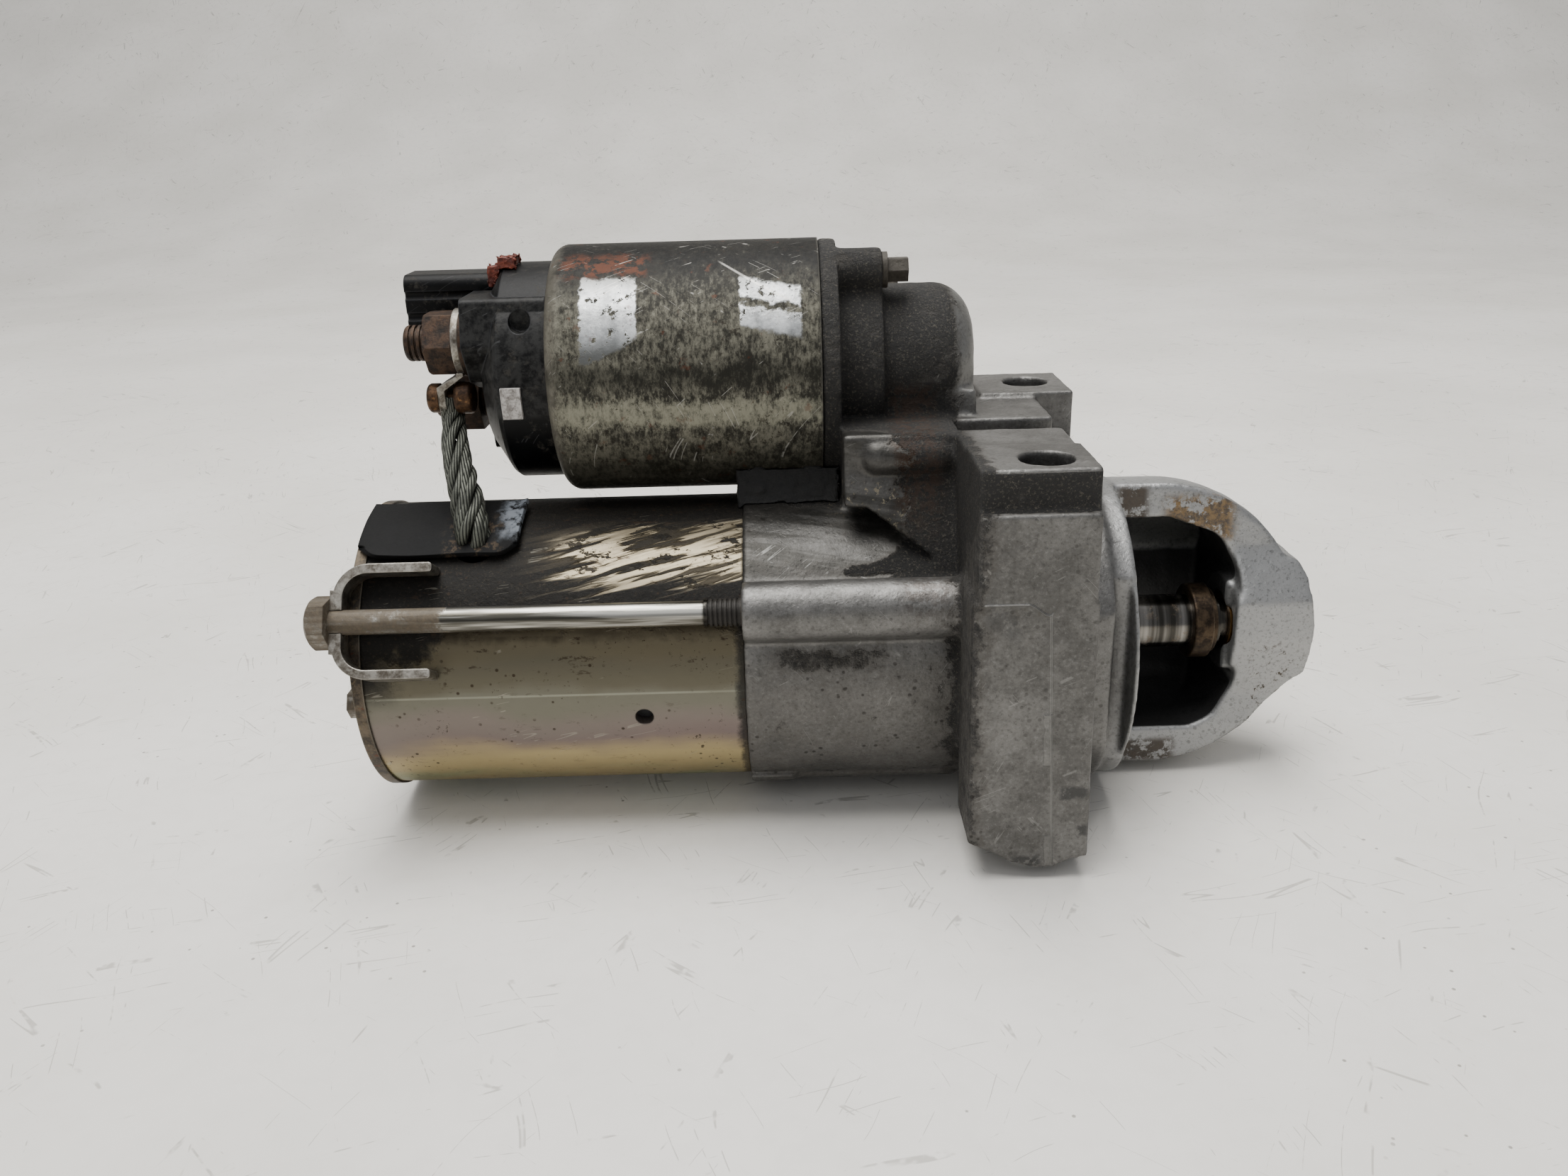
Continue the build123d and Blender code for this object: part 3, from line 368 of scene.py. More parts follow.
    color = p.mix(p.times(film, 0.6), tone, srgb(78, 75, 71))
    color = p.mix(p.times(raised, p.ramp(p.add(p.times(blotch, 0.7), p.times(p.ramp(p.z, 10, 26), 0.2)), 0.5, 0.62), 0.5),
                  color, srgb(62, 59, 54))
    grit = p.mix(p.ramp(sand, 0.52, 0.68), srgb(17, 16, 15), srgb(72, 68, 60))
    color = p.mix(p.times(soot, 0.95), color, grit)
    color = p.mix(p.times(specks, 0.75), color, srgb(34, 31, 28))
    color = p.mix(p.times(gold_mask, 0.88), color, p.mix(p.ramp(fine, 0.4, 0.62), srgb(54, 40, 20), srgb(118, 92, 50)))
    color = p.mix(p.times(p.either(dark_mask, tip_dirt), 0.92), color, p.mix(fine, srgb(22, 18, 14), srgb(74, 60, 42)))
    color = p.mix(p.times(bell_rust, 0.8), color, srgb(52, 38, 28))
    color = p.mix(p.times(chips, 0.8), color, srgb(26, 26, 25))
    fragments = p.times(
        p.window(p.x, -44, -24, 3), p.window(p.z, 32.5, 41, 1.5), p.ramp(p.y, -4, -7), p.ramp(p.noise(1.7, 5.0, 0.78), 0.57, 0.61)
    )
    color = p.mix(p.times(fragments, 0.8), color, srgb(128, 120, 102))
    scratch = p.either(
        p.scratches(62, 3.6, 0.008, 0.14), p.scratches(24, 4.4, 0.007, 0.12), p.scratches(-48, 4.0, 0.007, 0.12)
    )
    scratch = p.times(scratch, p.ramp(soot, 0.6, 0.1))
    worn_edge = p.times(edge, p.ramp(p.add(p.times(fine, 0.5), p.times(blotch, 0.5)), 0.4, 0.56))
    shiny = p.either(worn_edge, p.times(scratch, 0.3), p.times(p.either(seam, shelf_line), 0.38), p.times(flash, 0.15))
    color = p.mix(p.times(shiny, 0.6), color, srgb(172, 172, 169))

    # the hollow inside is coloured almost black
    inside = p.either(
        p.times(p.ramp(p.x, 23.0, 24.0), p.ramp(face_gap, 0.5, 1.1), p.inner_radius(25.8)),
        p.times(p.ramp(p.x, 24.0, 22.0), p.inner_radius(26.6)),
    )
    inside = p.times(inside, p.ramp(p.x, 54.2, 53.8))
    color = p.mix(p.times(inside, 0.95), color, p.mix(fine, srgb(9, 10, 12), srgb(30, 29, 29)))

    pits = p.ramp(p.cells(1.3), 0.1, 0.35)
    p.bump(p.add(p.times(raised, 1.6), p.times(p.either(seam, shelf_line), 0.8), p.times(flash, 0.8)), 0.2, 0.9)
    p.bump(p.add(p.times(grain, 0.8), p.times(pits, 0.3)), 0.12, 0.7)
    p.bump(p.add(p.times(soot, p.noise(1.0, 5.0, 0.78)), p.times(soot, sand, 0.5), p.times(blotch, 0.25)), 0.6, 0.85)
    rough = p.blend(soot, p.add(0.44, p.times(film, 0.14)), 0.7)
    rough = p.blend(shiny, rough, 0.32)
    metal = p.blend(p.either(soot, p.times(gold_mask, 0.8), dark_mask, inside, chips), 0.8, 0.1)
    return p.finish(color, rough, metal)


# ------------------------------------------------------------------ motor case
def zinc_case():
    p = Paint("zinc_case")
    p.edges(0.5)
    turn = p.turn()
    broad = p.noise(22.0, 3.0, 0.55, stretch=(0.6, 1, 1))
    streak = p.noise(5.0, 3.0, 0.6, stretch=(0.08, 1, 1))
    fine = p.noise(1.4, 5.0, 0.7)
    blotch = p.noise(6.0, 6.0, 0.7, 0.4)

    # thin-film colours run round the case and drift along it, with a painted shadow and a painted highlight laid over
    # them
    phase = p.add(turn, p.times(p.math("SUBTRACT", broad, 0.5), 26), p.times(p.math("SUBTRACT", streak, 0.5), 8))
    color = p.mix(p.ramp(phase, 20, 9), srgb(100, 93, 76), srgb(92, 88, 75))
    color = p.mix(p.ramp(phase, 5, -1), color, srgb(104, 102, 91))
    color = p.mix(p.ramp(phase, -3, -12), color, srgb(112, 104, 98))
    color = p.mix(p.ramp(p.add(phase, p.times(p.x, -0.10)), -2, -14), color, srgb(113, 101, 97))
    color = p.mix(p.ramp(phase, -19, -32), color, srgb(168, 152, 112))
    color = p.mix(p.times(p.ramp(phase, -34, -46), p.ramp(broad, 0.4, 0.6)), color, srgb(142, 148, 112))
    # a dark band just under the bolt: the bolt's painted shadow, with brown grime in it
    color = p.mix(p.times(p.ramp(p.ragged(turn, 6, 4), 19, 25), p.ramp(streak, 0.3, 0.6, 0.4, 1.0)), color, srgb(44, 38, 29))
    # a thin pale line along the side of the case: a painted highlight
    color = p.mix(p.times(p.window(turn, 0.2, 1.0, 0.3), p.ramp(streak, 0.3, 0.5), 0.3), color, srgb(176, 178, 160))

    # black oily soil over the upper half, with a scraped patch in it
    # towards the left end the dark reaches further down between the bracket arms: soil, and painted shade of the
    # bracket
    soil_line = p.add(p.ragged(turn, 34, 5), p.times(p.ramp(p.x, -121, -130), 17))
    soil = p.ramp(soil_line, 24, 34)
    soil = p.either(soil, p.times(p.ramp(p.ragged(p.x, 8, 3), -132, -141), p.ramp(turn, -6, 8)))
    soil = p.either(soil, p.times(p.ramp(p.ragged(p.x, 3, 2.5), -62.5, -60.8), 0.9))
    stroke = p.brushed(24, 1.6, 4.0, 0.12)
    strokes = p.brushed(17, 3.4, 4.0, 0.1)
    frayed = p.times(p.math("SUBTRACT", strokes, 0.5), 34)
    patch_x = p.add(p.x, p.times(turn, -0.1), p.times(frayed, 0.6))
    patch = p.times(
        p.ramp(p.add(patch_x, p.times(p.math("SUBTRACT", strokes, 0.5), 20)), -106, -99),
        p.ramp(p.x, -59.5, -60.5),
        p.window(p.add(turn, frayed), 41, 68, 2.5),
    )
    flakes = p.ramp(p.noise(3.2, 6.0, 0.75, stretch=(0.5, 1, 1)), 0.56, 0.60)
    patch = p.times(patch, p.math("SUBTRACT", 1.0, p.times(flakes, 0.95)), p.ramp(p.y, 0, -4))
    patch = p.times(patch, p.math("SUBTRACT", 1.0, p.times(p.ramp(stroke, 0.52, 0.6), p.ramp(p.x, -62, -90, 0.45, 0.9))))
    smear = p.times(p.window(turn, 36, 70, 6), p.window(p.x, -106, -58, 6), p.ramp(strokes, 0.5, 0.6), 0.3)
    soil_color = p.mix(blotch, srgb(9, 9, 8), srgb(28, 25, 21))
    soil_color = p.mix(p.ramp(p.noise(0.6, 4.0, 0.8), 0.54, 0.72), soil_color, srgb(58, 52, 42))
    bare = p.mix(p.ramp(stroke, 0.62, 0.4), srgb(72, 65, 51), srgb(148, 138, 117))
    color = p.mix(p.times(soil, 0.96), color, soil_color)
    color = p.mix(p.times(smear, soil), color, srgb(96, 88, 73))
    color = p.mix(patch, color, bare)

    # scattered dark specks and brushed grime under the bolt
    specks = p.times(p.ramp(p.cells(2.4), 0.2, 0.1), p.ramp(p.noise(11.0, 3.0), 0.46, 0.6))
    spatter = p.times(p.ramp(p.noise(1.3, 5.0, 0.8), 0.6, 0.63), p.ramp(p.noise(14.0, 4.0), 0.46, 0.6))
    specks = p.either(specks, spatter)
    dashes = p.times(
        p.ramp(p.noise(2.4, 5.0, 0.75, stretch=(0.35, 1, 1)), 0.6, 0.66),
        p.ramp(turn, -4, 24, 0.3, 1.0),
    )
    low_soil = p.times(p.ramp(p.ragged(turn, 20, 6), -30, -58), 0.6)
    color = p.mix(p.times(p.either(specks, dashes), 0.85), color, srgb(48, 38, 28))
    color = p.mix(p.times(low_soil, 0.6), color, srgb(74, 66, 50))
    line = p.scratches(12, 3.0, 0.008, 0.14)
    color = p.mix(p.times(line, 0.3), color, srgb(168, 164, 150))

    cover = p.times(soil, p.math("SUBTRACT", 1.0, patch))
    p.bump(p.times(cover, p.add(p.times(fine, 0.7), blotch)), 0.45, 0.9)
    p.bump(p.add(p.times(streak, 0.4), p.times(p.noise(0.7, 3.0), 0.3)), 0.05, 0.6)
    rough = p.blend(cover, p.add(0.33, p.times(fine, 0.2)), 0.68)
    metal = p.blend(cover, 0.7, 0.05)
    return p.finish(color, rough, metal, Specular_IOR_Level=0.3)


# ------------------------------------------------------------------ solenoid can
def can_steel():
    p = Paint("can_steel")
    edge = p.edges(0.8, 0.85, 0.985)
    turn = p.turn(COIL_Y, COIL_Z)
    broad = p.noise(16.0, 4.0, 0.6)
    mottle = p.noise(3.4, 6.0, 0.72)
    fine = p.noise(1.1, 5.0, 0.75)
    streak = p.noise(6.0, 3.0, 0.6, stretch=(1.0, 0.2, 0.2))
    # painted shading: the tone darkens towards the top of the can and lightens lower down
    lower = p.ramp(p.add(turn, p.times(p.math("SUBTRACT", broad, 0.5), 30)), 62, 26)
    dark = p.mix(lower, srgb(16, 16, 15), srgb(46, 45, 41))
    olive = p.mix(lower, srgb(34, 33, 30), srgb(110, 108, 97))
    grain = p.noise(0.9, 4.0, 0.8, stretch=(1.0, 0.45, 0.45))
    worn = p.add(p.times(mottle, 0.3), p.times(broad, 0.25), p.times(grain, 0.45))
    tone = p.mix(p.ramp(worn, 0.42, 0.6), dark, olive)

    # a paler band low on the near side, a painted highlight band broken up by worn patches and speckled with brown
    sheen_band = p.window(p.ragged(turn, 9, 7), -18, -4, 5)
    wear_and_sheen = p.ramp(p.add(p.times(sheen_band, 0.3), p.times(mottle, 0.45), p.times(grain, 0.6)), 0.6, 0.9)
    color = p.mix(p.times(wear_and_sheen, 0.8), tone, srgb(136, 135, 121))
    specks = p.times(p.ramp(p.noise(1.7, 5.0, 0.8), 0.56, 0.62), p.ramp(broad, 0.35, 0.6, 0.35, 1.0))
    color = p.mix(p.times(specks, 0.8), color, srgb(36, 31, 26))
    rim = p.ramp(p.ragged(p.x, 5, 3), -97, -100.5)
    color = p.mix(p.times(rim, 0.5), color, srgb(120, 116, 106))
    # painted shade: darker towards the bottom of the can, and a painted shade band just above the middle of its near
    # side
    low = p.ramp(p.ragged(turn, 14, 6), -24, -44)
    color = p.mix(p.times(low, 0.6), color, srgb(40, 39, 33))
    shade = p.window(p.ragged(turn, 6, 7), 2, 11, 3)
    color = p.mix(p.times(shade, 0.45), color, srgb(36, 36, 32))

    # two bare bright rectangles where labels were
    ragged_x = p.ragged(p.x, 2.2, 2.0)
    ragged_turn = p.ragged(turn, 7, 2.5)
    first = p.times(p.window(ragged_x, -93, -81, 0.25), p.window(ragged_turn, 12, 53, 1.2))
    first = p.times(first, p.ramp(p.add(ragged_turn, p.times(p.add(p.x, 92), -1.0)), 10, 12))
    tilt = p.add(ragged_turn, p.times(p.add(p.x, 58), 0.5))
    second = p.times(p.window(ragged_x, -59, -46, 0.25), p.window(tilt, 27, 51, 1.2))
    second = p.times(second, p.math("SUBTRACT", 1.0, p.window(p.ragged(tilt, 9, 3), 37, 41, 1)))
    holes = p.ramp(p.noise(2.6, 5.0, 0.72), 0.57, 0.61)
    # the bare patches are brightest near turn 34, a painted highlight, and dimmer towards their edges
    off_highlight = p.math("ABSOLUTE", p.add(turn, -34))
    near = p.ramp(p.y, COIL_Y, COIL_Y - 3)
    bright = p.times(p.either(first, second), p.math("SUBTRACT", 1.0, holes), near)
    silver = p.mix(p.ramp(p.add(p.times(streak, 0.5), p.times(mottle, 0.5)), 0.36, 0.64), srgb(128, 130, 130), srgb(196, 198, 198))
    silver = p.mix(p.ramp(off_highlight, 6, 19), silver, srgb(104, 105, 103))
    color = p.mix(bright, color, silver)

    # rust above and round the first patch, and torn flaps by the second
    rust = p.times(
        p.window(p.ragged(p.x, 5, 4), -97, -79, 2),
        p.window(p.ragged(turn, 14, 4), 54, 70, 4),
        p.ramp(p.noise(3.0, 5.0, 0.7), 0.44, 0.54),
    )
    rust = p.either(rust, p.times(p.ramp(p.noise(4.5, 5.0, 0.7), 0.62, 0.68), 0.6))
    color = p.mix(p.times(rust, 0.7), color, p.mix(fine, srgb(58, 34, 24), srgb(104, 60, 40)))
    arc = p.math(
        "SUBTRACT",
        p.add(turn, p.times(p.add(p.x, 58), 1.7), p.times(p.add(p.x, 58), p.add(p.x, 58), -0.035)),
        52,
    )
    arc_line = p.times(p.ramp(p.math("ABSOLUTE", arc), 1.1, 0.3), p.window(p.x, -63, -48, 1), near)
    line = p.either(arc_line, p.scratches(38, 3.2, 0.008, 0.16), p.times(p.scratches(-55, 3.6, 0.008, 0.14), 0.8))
    color = p.mix(p.times(line, 0.55), color, srgb(176, 174, 168))
    color = p.mix(p.times(edge, 0.4), color, srgb(140, 138, 130))

    p.bump(p.add(p.times(mottle, 0.8), p.times(fine, 0.6), p.times(bright, 0.5)), 0.12, 0.8)
    rough = p.blend(bright, p.add(0.42, p.times(fine, 0.2)), 0.34)
    metal = p.blend(bright, p.add(0.4, p.times(wear_and_sheen, 0.4)), 0.9)
    return p.finish(color, rough, metal, Specular_IOR_Level=0.15)


# ------------------------------------------------------------------ hardware
def zinc_bolt():
    p = Paint("zinc_bolt")
    p.edges(0.35)
    streak = p.noise(2.0, 3.0, 0.6, stretch=(0.05, 1, 1))
    fine = p.noise(0.9, 4.0, 0.7)
    blotch = p.noise(5.0, 5.0, 0.7)
    color = p.mix(p.ramp(streak, 0.4, 0.6), srgb(78, 76, 70), srgb(166, 164, 157))
    dirty = p.either(p.ramp(p.ragged(p.x, 22, 6), -116, -124), p.ramp(p.ragged(p.x, 4, 2), -69, -66.5))
    soil = p.ramp(p.add(p.times(dirty, 0.45), p.times(blotch, 0.6), p.times(fine, 0.2)), 0.66, 0.86)
    color = p.mix(p.times(soil, 0.9), color, p.mix(fine, srgb(40, 34, 28), srgb(104, 92, 74)))
    color = p.mix(p.times(p.ramp(p.z, 60, 64), 0.9), color, p.mix(fine, srgb(30, 28, 25), srgb(66, 62, 55)))
    threads = p.ramp(p.x, -68.6, -67.8)
    threads = p.times(threads, p.ramp(p.x, -59.5, -60.5))
    color = p.mix(p.times(threads, 0.92), color, srgb(26, 24, 22))
    p.bump(p.add(p.times(soil, fine), p.times(streak, 0.15)), 0.12, 0.8)
    return p.finish(color, p.blend(soil, 0.28, 0.62), p.blend(soil, 1.0, 0.3))


def zinc_bracket():
    p = Paint("zinc_bracket")
    edge = p.edges(0.45, 0.85, 0.985)
    blotch = p.noise(3.2, 6.0, 0.72)
    fine = p.noise(0.8, 5.0, 0.75)
    white = p.ramp(p.noise(2.2, 5.0, 0.7), 0.48, 0.6)
    color = p.mix(p.ramp(blotch, 0.36, 0.64), srgb(82, 76, 68), srgb(140, 136, 128))
    color = p.mix(p.times(white, 0.4), color, srgb(172, 169, 160))
    soil = p.ramp(p.add(p.times(p.hollow(4.0), 0.5), p.times(blotch, 0.6), p.times(fine, 0.2)), 0.56, 0.74)
    color = p.mix(p.times(soil, 0.9), color, p.mix(fine, srgb(44, 36, 28), srgb(100, 82, 60)))
    color = p.mix(p.times(edge, 0.4), color, srgb(214, 210, 200))
    p.bump(p.add(p.times(blotch, 0.7), p.times(fine, 0.5)), 0.14, 0.8)
    return p.finish(color, p.blend(soil, 0.36, 0.72), p.blend(soil, 0.85, 0.15))


def end_cap_steel():
    p = Paint("end_cap_steel")
    edge = p.edges(0.5, 0.85, 0.985)
    blotch = p.noise(6.0, 6.0, 0.7)
    fine = p.noise(1.0, 5.0, 0.75)
    color = p.mix(p.ramp(blotch, 0.35, 0.65), srgb(46, 42, 38), srgb(98, 88, 74))
    color = p.mix(p.times(p.ramp(fine, 0.5, 0.7), 0.5), color, srgb(120, 104, 78))
    color = p.mix(p.times(p.ramp(p.noise(4.0, 5.0, 0.7), 0.6, 0.68), 0.7), color, RUST)
    color = p.mix(p.times(edge, 0.5), color, srgb(150, 146, 134))
    p.bump(p.add(blotch, p.times(fine, 0.5)), 0.16, 0.8)
    return p.finish(color, p.add(0.42, p.times(fine, 0.25)), 0.6)


def rusty_steel():
    p = Paint("rusty_steel")
    edge = p.edges(0.3, 0.85, 0.985)
    blotch = p.noise(2.4, 6.0, 0.72)
    fine = p.noise(0.6, 5.0, 0.75)
    color = p.mix(p.ramp(blotch, 0.36, 0.62), srgb(32, 26, 22), srgb(70, 54, 42))
    color = p.mix(p.times(p.ramp(fine, 0.55, 0.75), 0.6), color, srgb(58, 46, 38))
    orange = p.ramp(p.noise(1.7, 5.0, 0.7), 0.6, 0.68)
    color = p.mix(p.times(orange, 0.3), color, srgb(98, 64, 40))
    color = p.mix(p.times(p.hollow(1.6), 0.7), color, srgb(32, 26, 22))
    color = p.mix(p.times(edge, 0.4), color, srgb(118, 98, 80))
    p.bump(p.add(blotch, p.times(fine, 0.6)), 0.16, 0.9)
    return p.finish(color, p.add(0.46, p.times(fine, 0.25)), 0.55)


def copper():
    p = Paint("copper")
    edge = p.edges(0.3, 0.85, 0.985)
    blotch = p.noise(1.8, 6.0, 0.72)
    fine = p.noise(0.5, 5.0, 0.75)
    color = p.mix(p.ramp(blotch, 0.35, 0.65), srgb(44, 33, 26), srgb(88, 66, 48))
    bright = p.ramp(p.noise(2.0, 3.0), 0.6, 0.68)
    color = p.mix(p.times(bright, 0.5), color, srgb(158, 116, 76))
    color = p.mix(p.times(p.ramp(fine, 0.5, 0.7), 0.6), color, srgb(52, 40, 32))
    color = p.mix(p.times(edge, 0.4), color, srgb(150, 112, 80))
    p.bump(p.add(blotch, p.times(fine, 0.5)), 0.14, 0.9)
    return p.finish(color, p.add(0.36, p.times(fine, 0.3)), 0.75)


def bright_steel():
    p = Paint("bright_steel")
    p.edges(0.3)
    ring = p.noise(1.6, 2.0, 0.5, stretch=(1, 0.02, 0.02))
    streak = p.noise(1.2, 3.0, 0.6, stretch=(0.1, 1, 1))
    blotch = p.noise(4.0, 5.0, 0.7)
    color = p.mix(p.ramp(ring, 0.35, 0.65), srgb(64, 62, 58), srgb(132, 129, 124))
    film = p.ramp(blotch, 0.52, 0.7)
    color = p.mix(p.times(film, 0.5), color, srgb(110, 96, 80))
    p.bump(p.add(p.times(ring, 0.3), p.times(streak, 0.3)), 0.02, 0.6)
    return p.finish(color, p.add(0.2, p.times(film, 0.2)), 1.0)


def collar_steel():
    p = Paint("collar_steel")
    edge = p.edges(0.4, 0.85, 0.985)
    blotch = p.noise(2.6, 5.0, 0.7)
    fine = p.noise(0.8, 4.0, 0.7)
    color = p.mix(p.ramp(blotch, 0.35, 0.65), srgb(38, 32, 27), srgb(76, 64, 51))
    color = p.mix(p.times(p.ramp(fine, 0.52, 0.7), 0.4), color, srgb(60, 50, 42))
    # the edges are painted lighter: a painted highlight on the rim
    color = p.mix(p.times(edge, 0.5), color, srgb(140, 128, 110))
    p.bump(p.add(blotch, fine), 0.06, 0.8)
    return p.finish(color, p.add(0.34, p.times(fine, 0.2)), 0.85)


def plain_metal(name, dark, light, rough, size, metal=1.0, stretch=None, oil=0.4):
    """Machined or pressed metal with an oily film; the grain follows stretch."""
    p = Paint(name)
    edge = p.edges(0.3, 0.85, 0.985)
    grain = p.noise(size, 4.0, 0.65, stretch=stretch)
    blotch = p.noise(size * 4, 5.0, 0.7)
    color = p.mix(grain, dark, light)
    film = p.ramp(p.add(p.times(blotch, 0.7), p.times(p.hollow(3.0), 0.5)), 0.45, 0.8)
    color = p.mix(p.times(film, oil), color, OIL)
    color = p.mix(p.times(edge, 0.4), color, tuple(min(1.0, value * 1.3) for value in light))
    p.bump(grain, 0.04, 0.7)
    return p.finish(color, p.add(rough, p.times(film, 0.2)), metal)


# ------------------------------------------------------------------ plastics, rubber and wire
def black_plastic():
    p = Paint("black_plastic")
    edge = p.edges(0.5, 0.85, 0.985)
    blotch = p.noise(7.0, 5.0, 0.68)
    fine = p.noise(0.8, 5.0, 0.72)
    color = p.mix(p.ramp(blotch, 0.35, 0.7), srgb(4, 4, 5), srgb(12, 13, 15))
    dust = p.times(p.ramp(p.noise(3.0, 6.0, 0.75), 0.54, 0.66), 0.3)
    color = p.mix(dust, color, srgb(84, 80, 74))
    color = p.mix(p.times(edge, 0.4), color, srgb(88, 90, 95))
    line = p.scratches(30, 2.6, 0.01, 0.16)
    color = p.mix(p.times(line, 0.25), color, srgb(100, 100, 102))
    p.bump(p.add(p.times(fine, 0.6), blotch), 0.07, 0.7)
    block = p.times(p.ramp(p.y, 0.5, -1.5), p.ramp(p.z, 54, 56), p.ramp(p.noise(2.4, 5.0, 0.75), 0.36, 0.6))
    color = p.mix(p.times(block, 0.5), color, srgb(58, 58, 57))
    rough = p.add(0.4, p.times(dust, 0.5), p.times(fine, 0.12))
    return p.finish(color, rough, 0.0, Specular_IOR_Level=0.15)


def grey_plastic():
    p = Paint("grey_plastic")
    edge = p.edges(0.4)
    scuff = p.noise(2.2, 6.0, 0.75)
    color = p.mix(p.ramp(scuff, 0.4, 0.6), srgb(128, 124, 120), srgb(186, 182, 178))
    color = p.mix(p.times(p.ramp(p.noise(1.2, 4.0), 0.55, 0.65), 0.5), color, srgb(70, 62, 56))
    color = p.mix(p.times(edge, 0.3), color, srgb(210, 208, 204))
    p.bump(scuff, 0.1, 0.8)
    return p.finish(color, 0.5, 0.0)


def nylon():
    p = Paint("nylon")
    p.edges(0.4)
    blotch = p.noise(6.0, 4.0, 0.65)
    fine = p.noise(0.9, 4.0, 0.7)
    color = p.mix(p.ramp(blotch, 0.35, 0.65), srgb(126, 116, 92), srgb(164, 152, 122))
    color = p.mix(p.times(p.hollow(3.0), 0.6), color, srgb(60, 50, 36))
    p.bump(p.add(blotch, fine), 0.05, 0.7)
    return p.finish(color, p.add(0.38, p.times(fine, 0.15)), 0.0)


def black_rubber():
    p = Paint("black_rubber")
    p.edges(0.4)
    blotch = p.noise(9.0, 5.0, 0.68)
    fine = p.noise(0.7, 5.0, 0.75)
    color = p.mix(p.ramp(blotch, 0.35, 0.7), srgb(6, 6, 7), srgb(12, 13, 14))
    # pale scuffs at the flap's front corner and brown dust beside the lead
    corner = p.times(p.ramp(p.ragged(p.x, 7, 4), -114.5, -110.5), p.ramp(p.ragged(p.z, 6, 3), 29.5, 33))
    scuff = p.times(corner, p.ramp(p.noise(2.8, 5.0, 0.7), 0.38, 0.55))
    color = p.mix(p.times(scuff, 0.75), color, srgb(132, 138, 146))
    near_lead = p.times(
        p.window(p.ragged(p.x, 6, 4), -124, -112.5, 2.5), p.ramp(p.z, 34.5, 32), p.ramp(p.z, 20, 24)
    )
    dust = p.times(near_lead, p.ramp(p.noise(2.4, 6.0, 0.75), 0.5, 0.6))
    color = p.mix(p.times(dust, 0.6), color, srgb(84, 71, 56))
    p.bump(p.add(p.times(fine, 0.8), blotch), 0.09, 0.7)
    return p.finish(color, p.add(0.62, p.times(fine, 0.14)), 0.0, Specular_IOR_Level=0.2)


def seal_rubber():
    p = Paint("seal_rubber")
    blotch = p.noise(3.0, 5.0, 0.7)
    fine = p.noise(0.6, 5.0, 0.75)
    color = p.mix(p.ramp(blotch, 0.35, 0.7), srgb(7, 7, 7), srgb(20, 19, 17))
    p.bump(p.add(blotch, fine), 0.3, 0.9)
    return p.finish(color, p.add(0.5, p.times(fine, 0.2)), 0.0)


def sealant():
    p = Paint("sealant")
    blotch = p.noise(1.4, 5.0, 0.72)
    fine = p.noise(0.4, 5.0, 0.75)
    color = p.mix(p.ramp(blotch, 0.35, 0.65), srgb(74, 27, 17), srgb(118, 52, 32))
    color = p.mix(p.times(p.ramp(p.noise(2.4, 4.0), 0.6, 0.7), 0.6), color, srgb(84, 40, 28))
    p.bump(p.add(blotch, p.times(fine, 0.6)), 0.25, 0.9)
    return p.finish(color, p.add(0.4, p.times(fine, 0.25)), 0.0)


def wire(name, light, dark, metal, rough, pitch, lean=0.25):
    """Fine strands laid along a tube, read from its own coordinates; each strand is painted light on its crest and dark
    in its grooves, a painted highlight and painted shade.
    """
    p = Paint(name)
    coords = p.node("ShaderNodeUVMap")
    split = p.node("ShaderNodeSeparateXYZ")
    p.tree.links.new(coords.outputs[0], split.inputs[0])
    across = p.add(p.times(split.outputs[0], pitch), p.times(split.outputs[1], pitch * lean))
    strand = p.math("ABSOLUTE", p.math("SINE", p.times(across, math.pi)))
    blotch = p.noise(4.0, 5.0, 0.7)
    fine = p.noise(0.7, 5.0, 0.7)
    color = p.mix(p.ramp(strand, 0.15, 0.8), dark, light)
    color = p.mix(p.times(p.ramp(blotch, 0.4, 0.66), 0.6), color, dark)
    # painted shade: almost black in the hollows between the bundles
    color = p.mix(p.times(p.hollow(1.6), 0.75), color, srgb(14, 14, 13))
    p.bump(strand, 0.16, 0.9)
    return p.finish(color, p.add(rough, p.times(fine, 0.2)), metal)


def wound_wire(name, light, dark, stretch, size):
    """Enamelled wire on a coil, each turn painted light on its crest and dark between turns: a painted highlight and
    painted shade.
    """
    p = Paint(name)
    p.edges(0.4)
    turns = p.math("ABSOLUTE", p.math("SINE", p.times(p.vector("DOT_PRODUCT", p.place, stretch), math.pi / size)))
    blotch = p.noise(5.0, 4.0, 0.65)
    color = p.mix(p.ramp(turns, 0.1, 0.7), dark, light)
    color = p.mix(p.times(blotch, 0.4), color, dark)
    p.bump(turns, 0.25, 0.9)
    return p.finish(color, 0.3, 0.8)


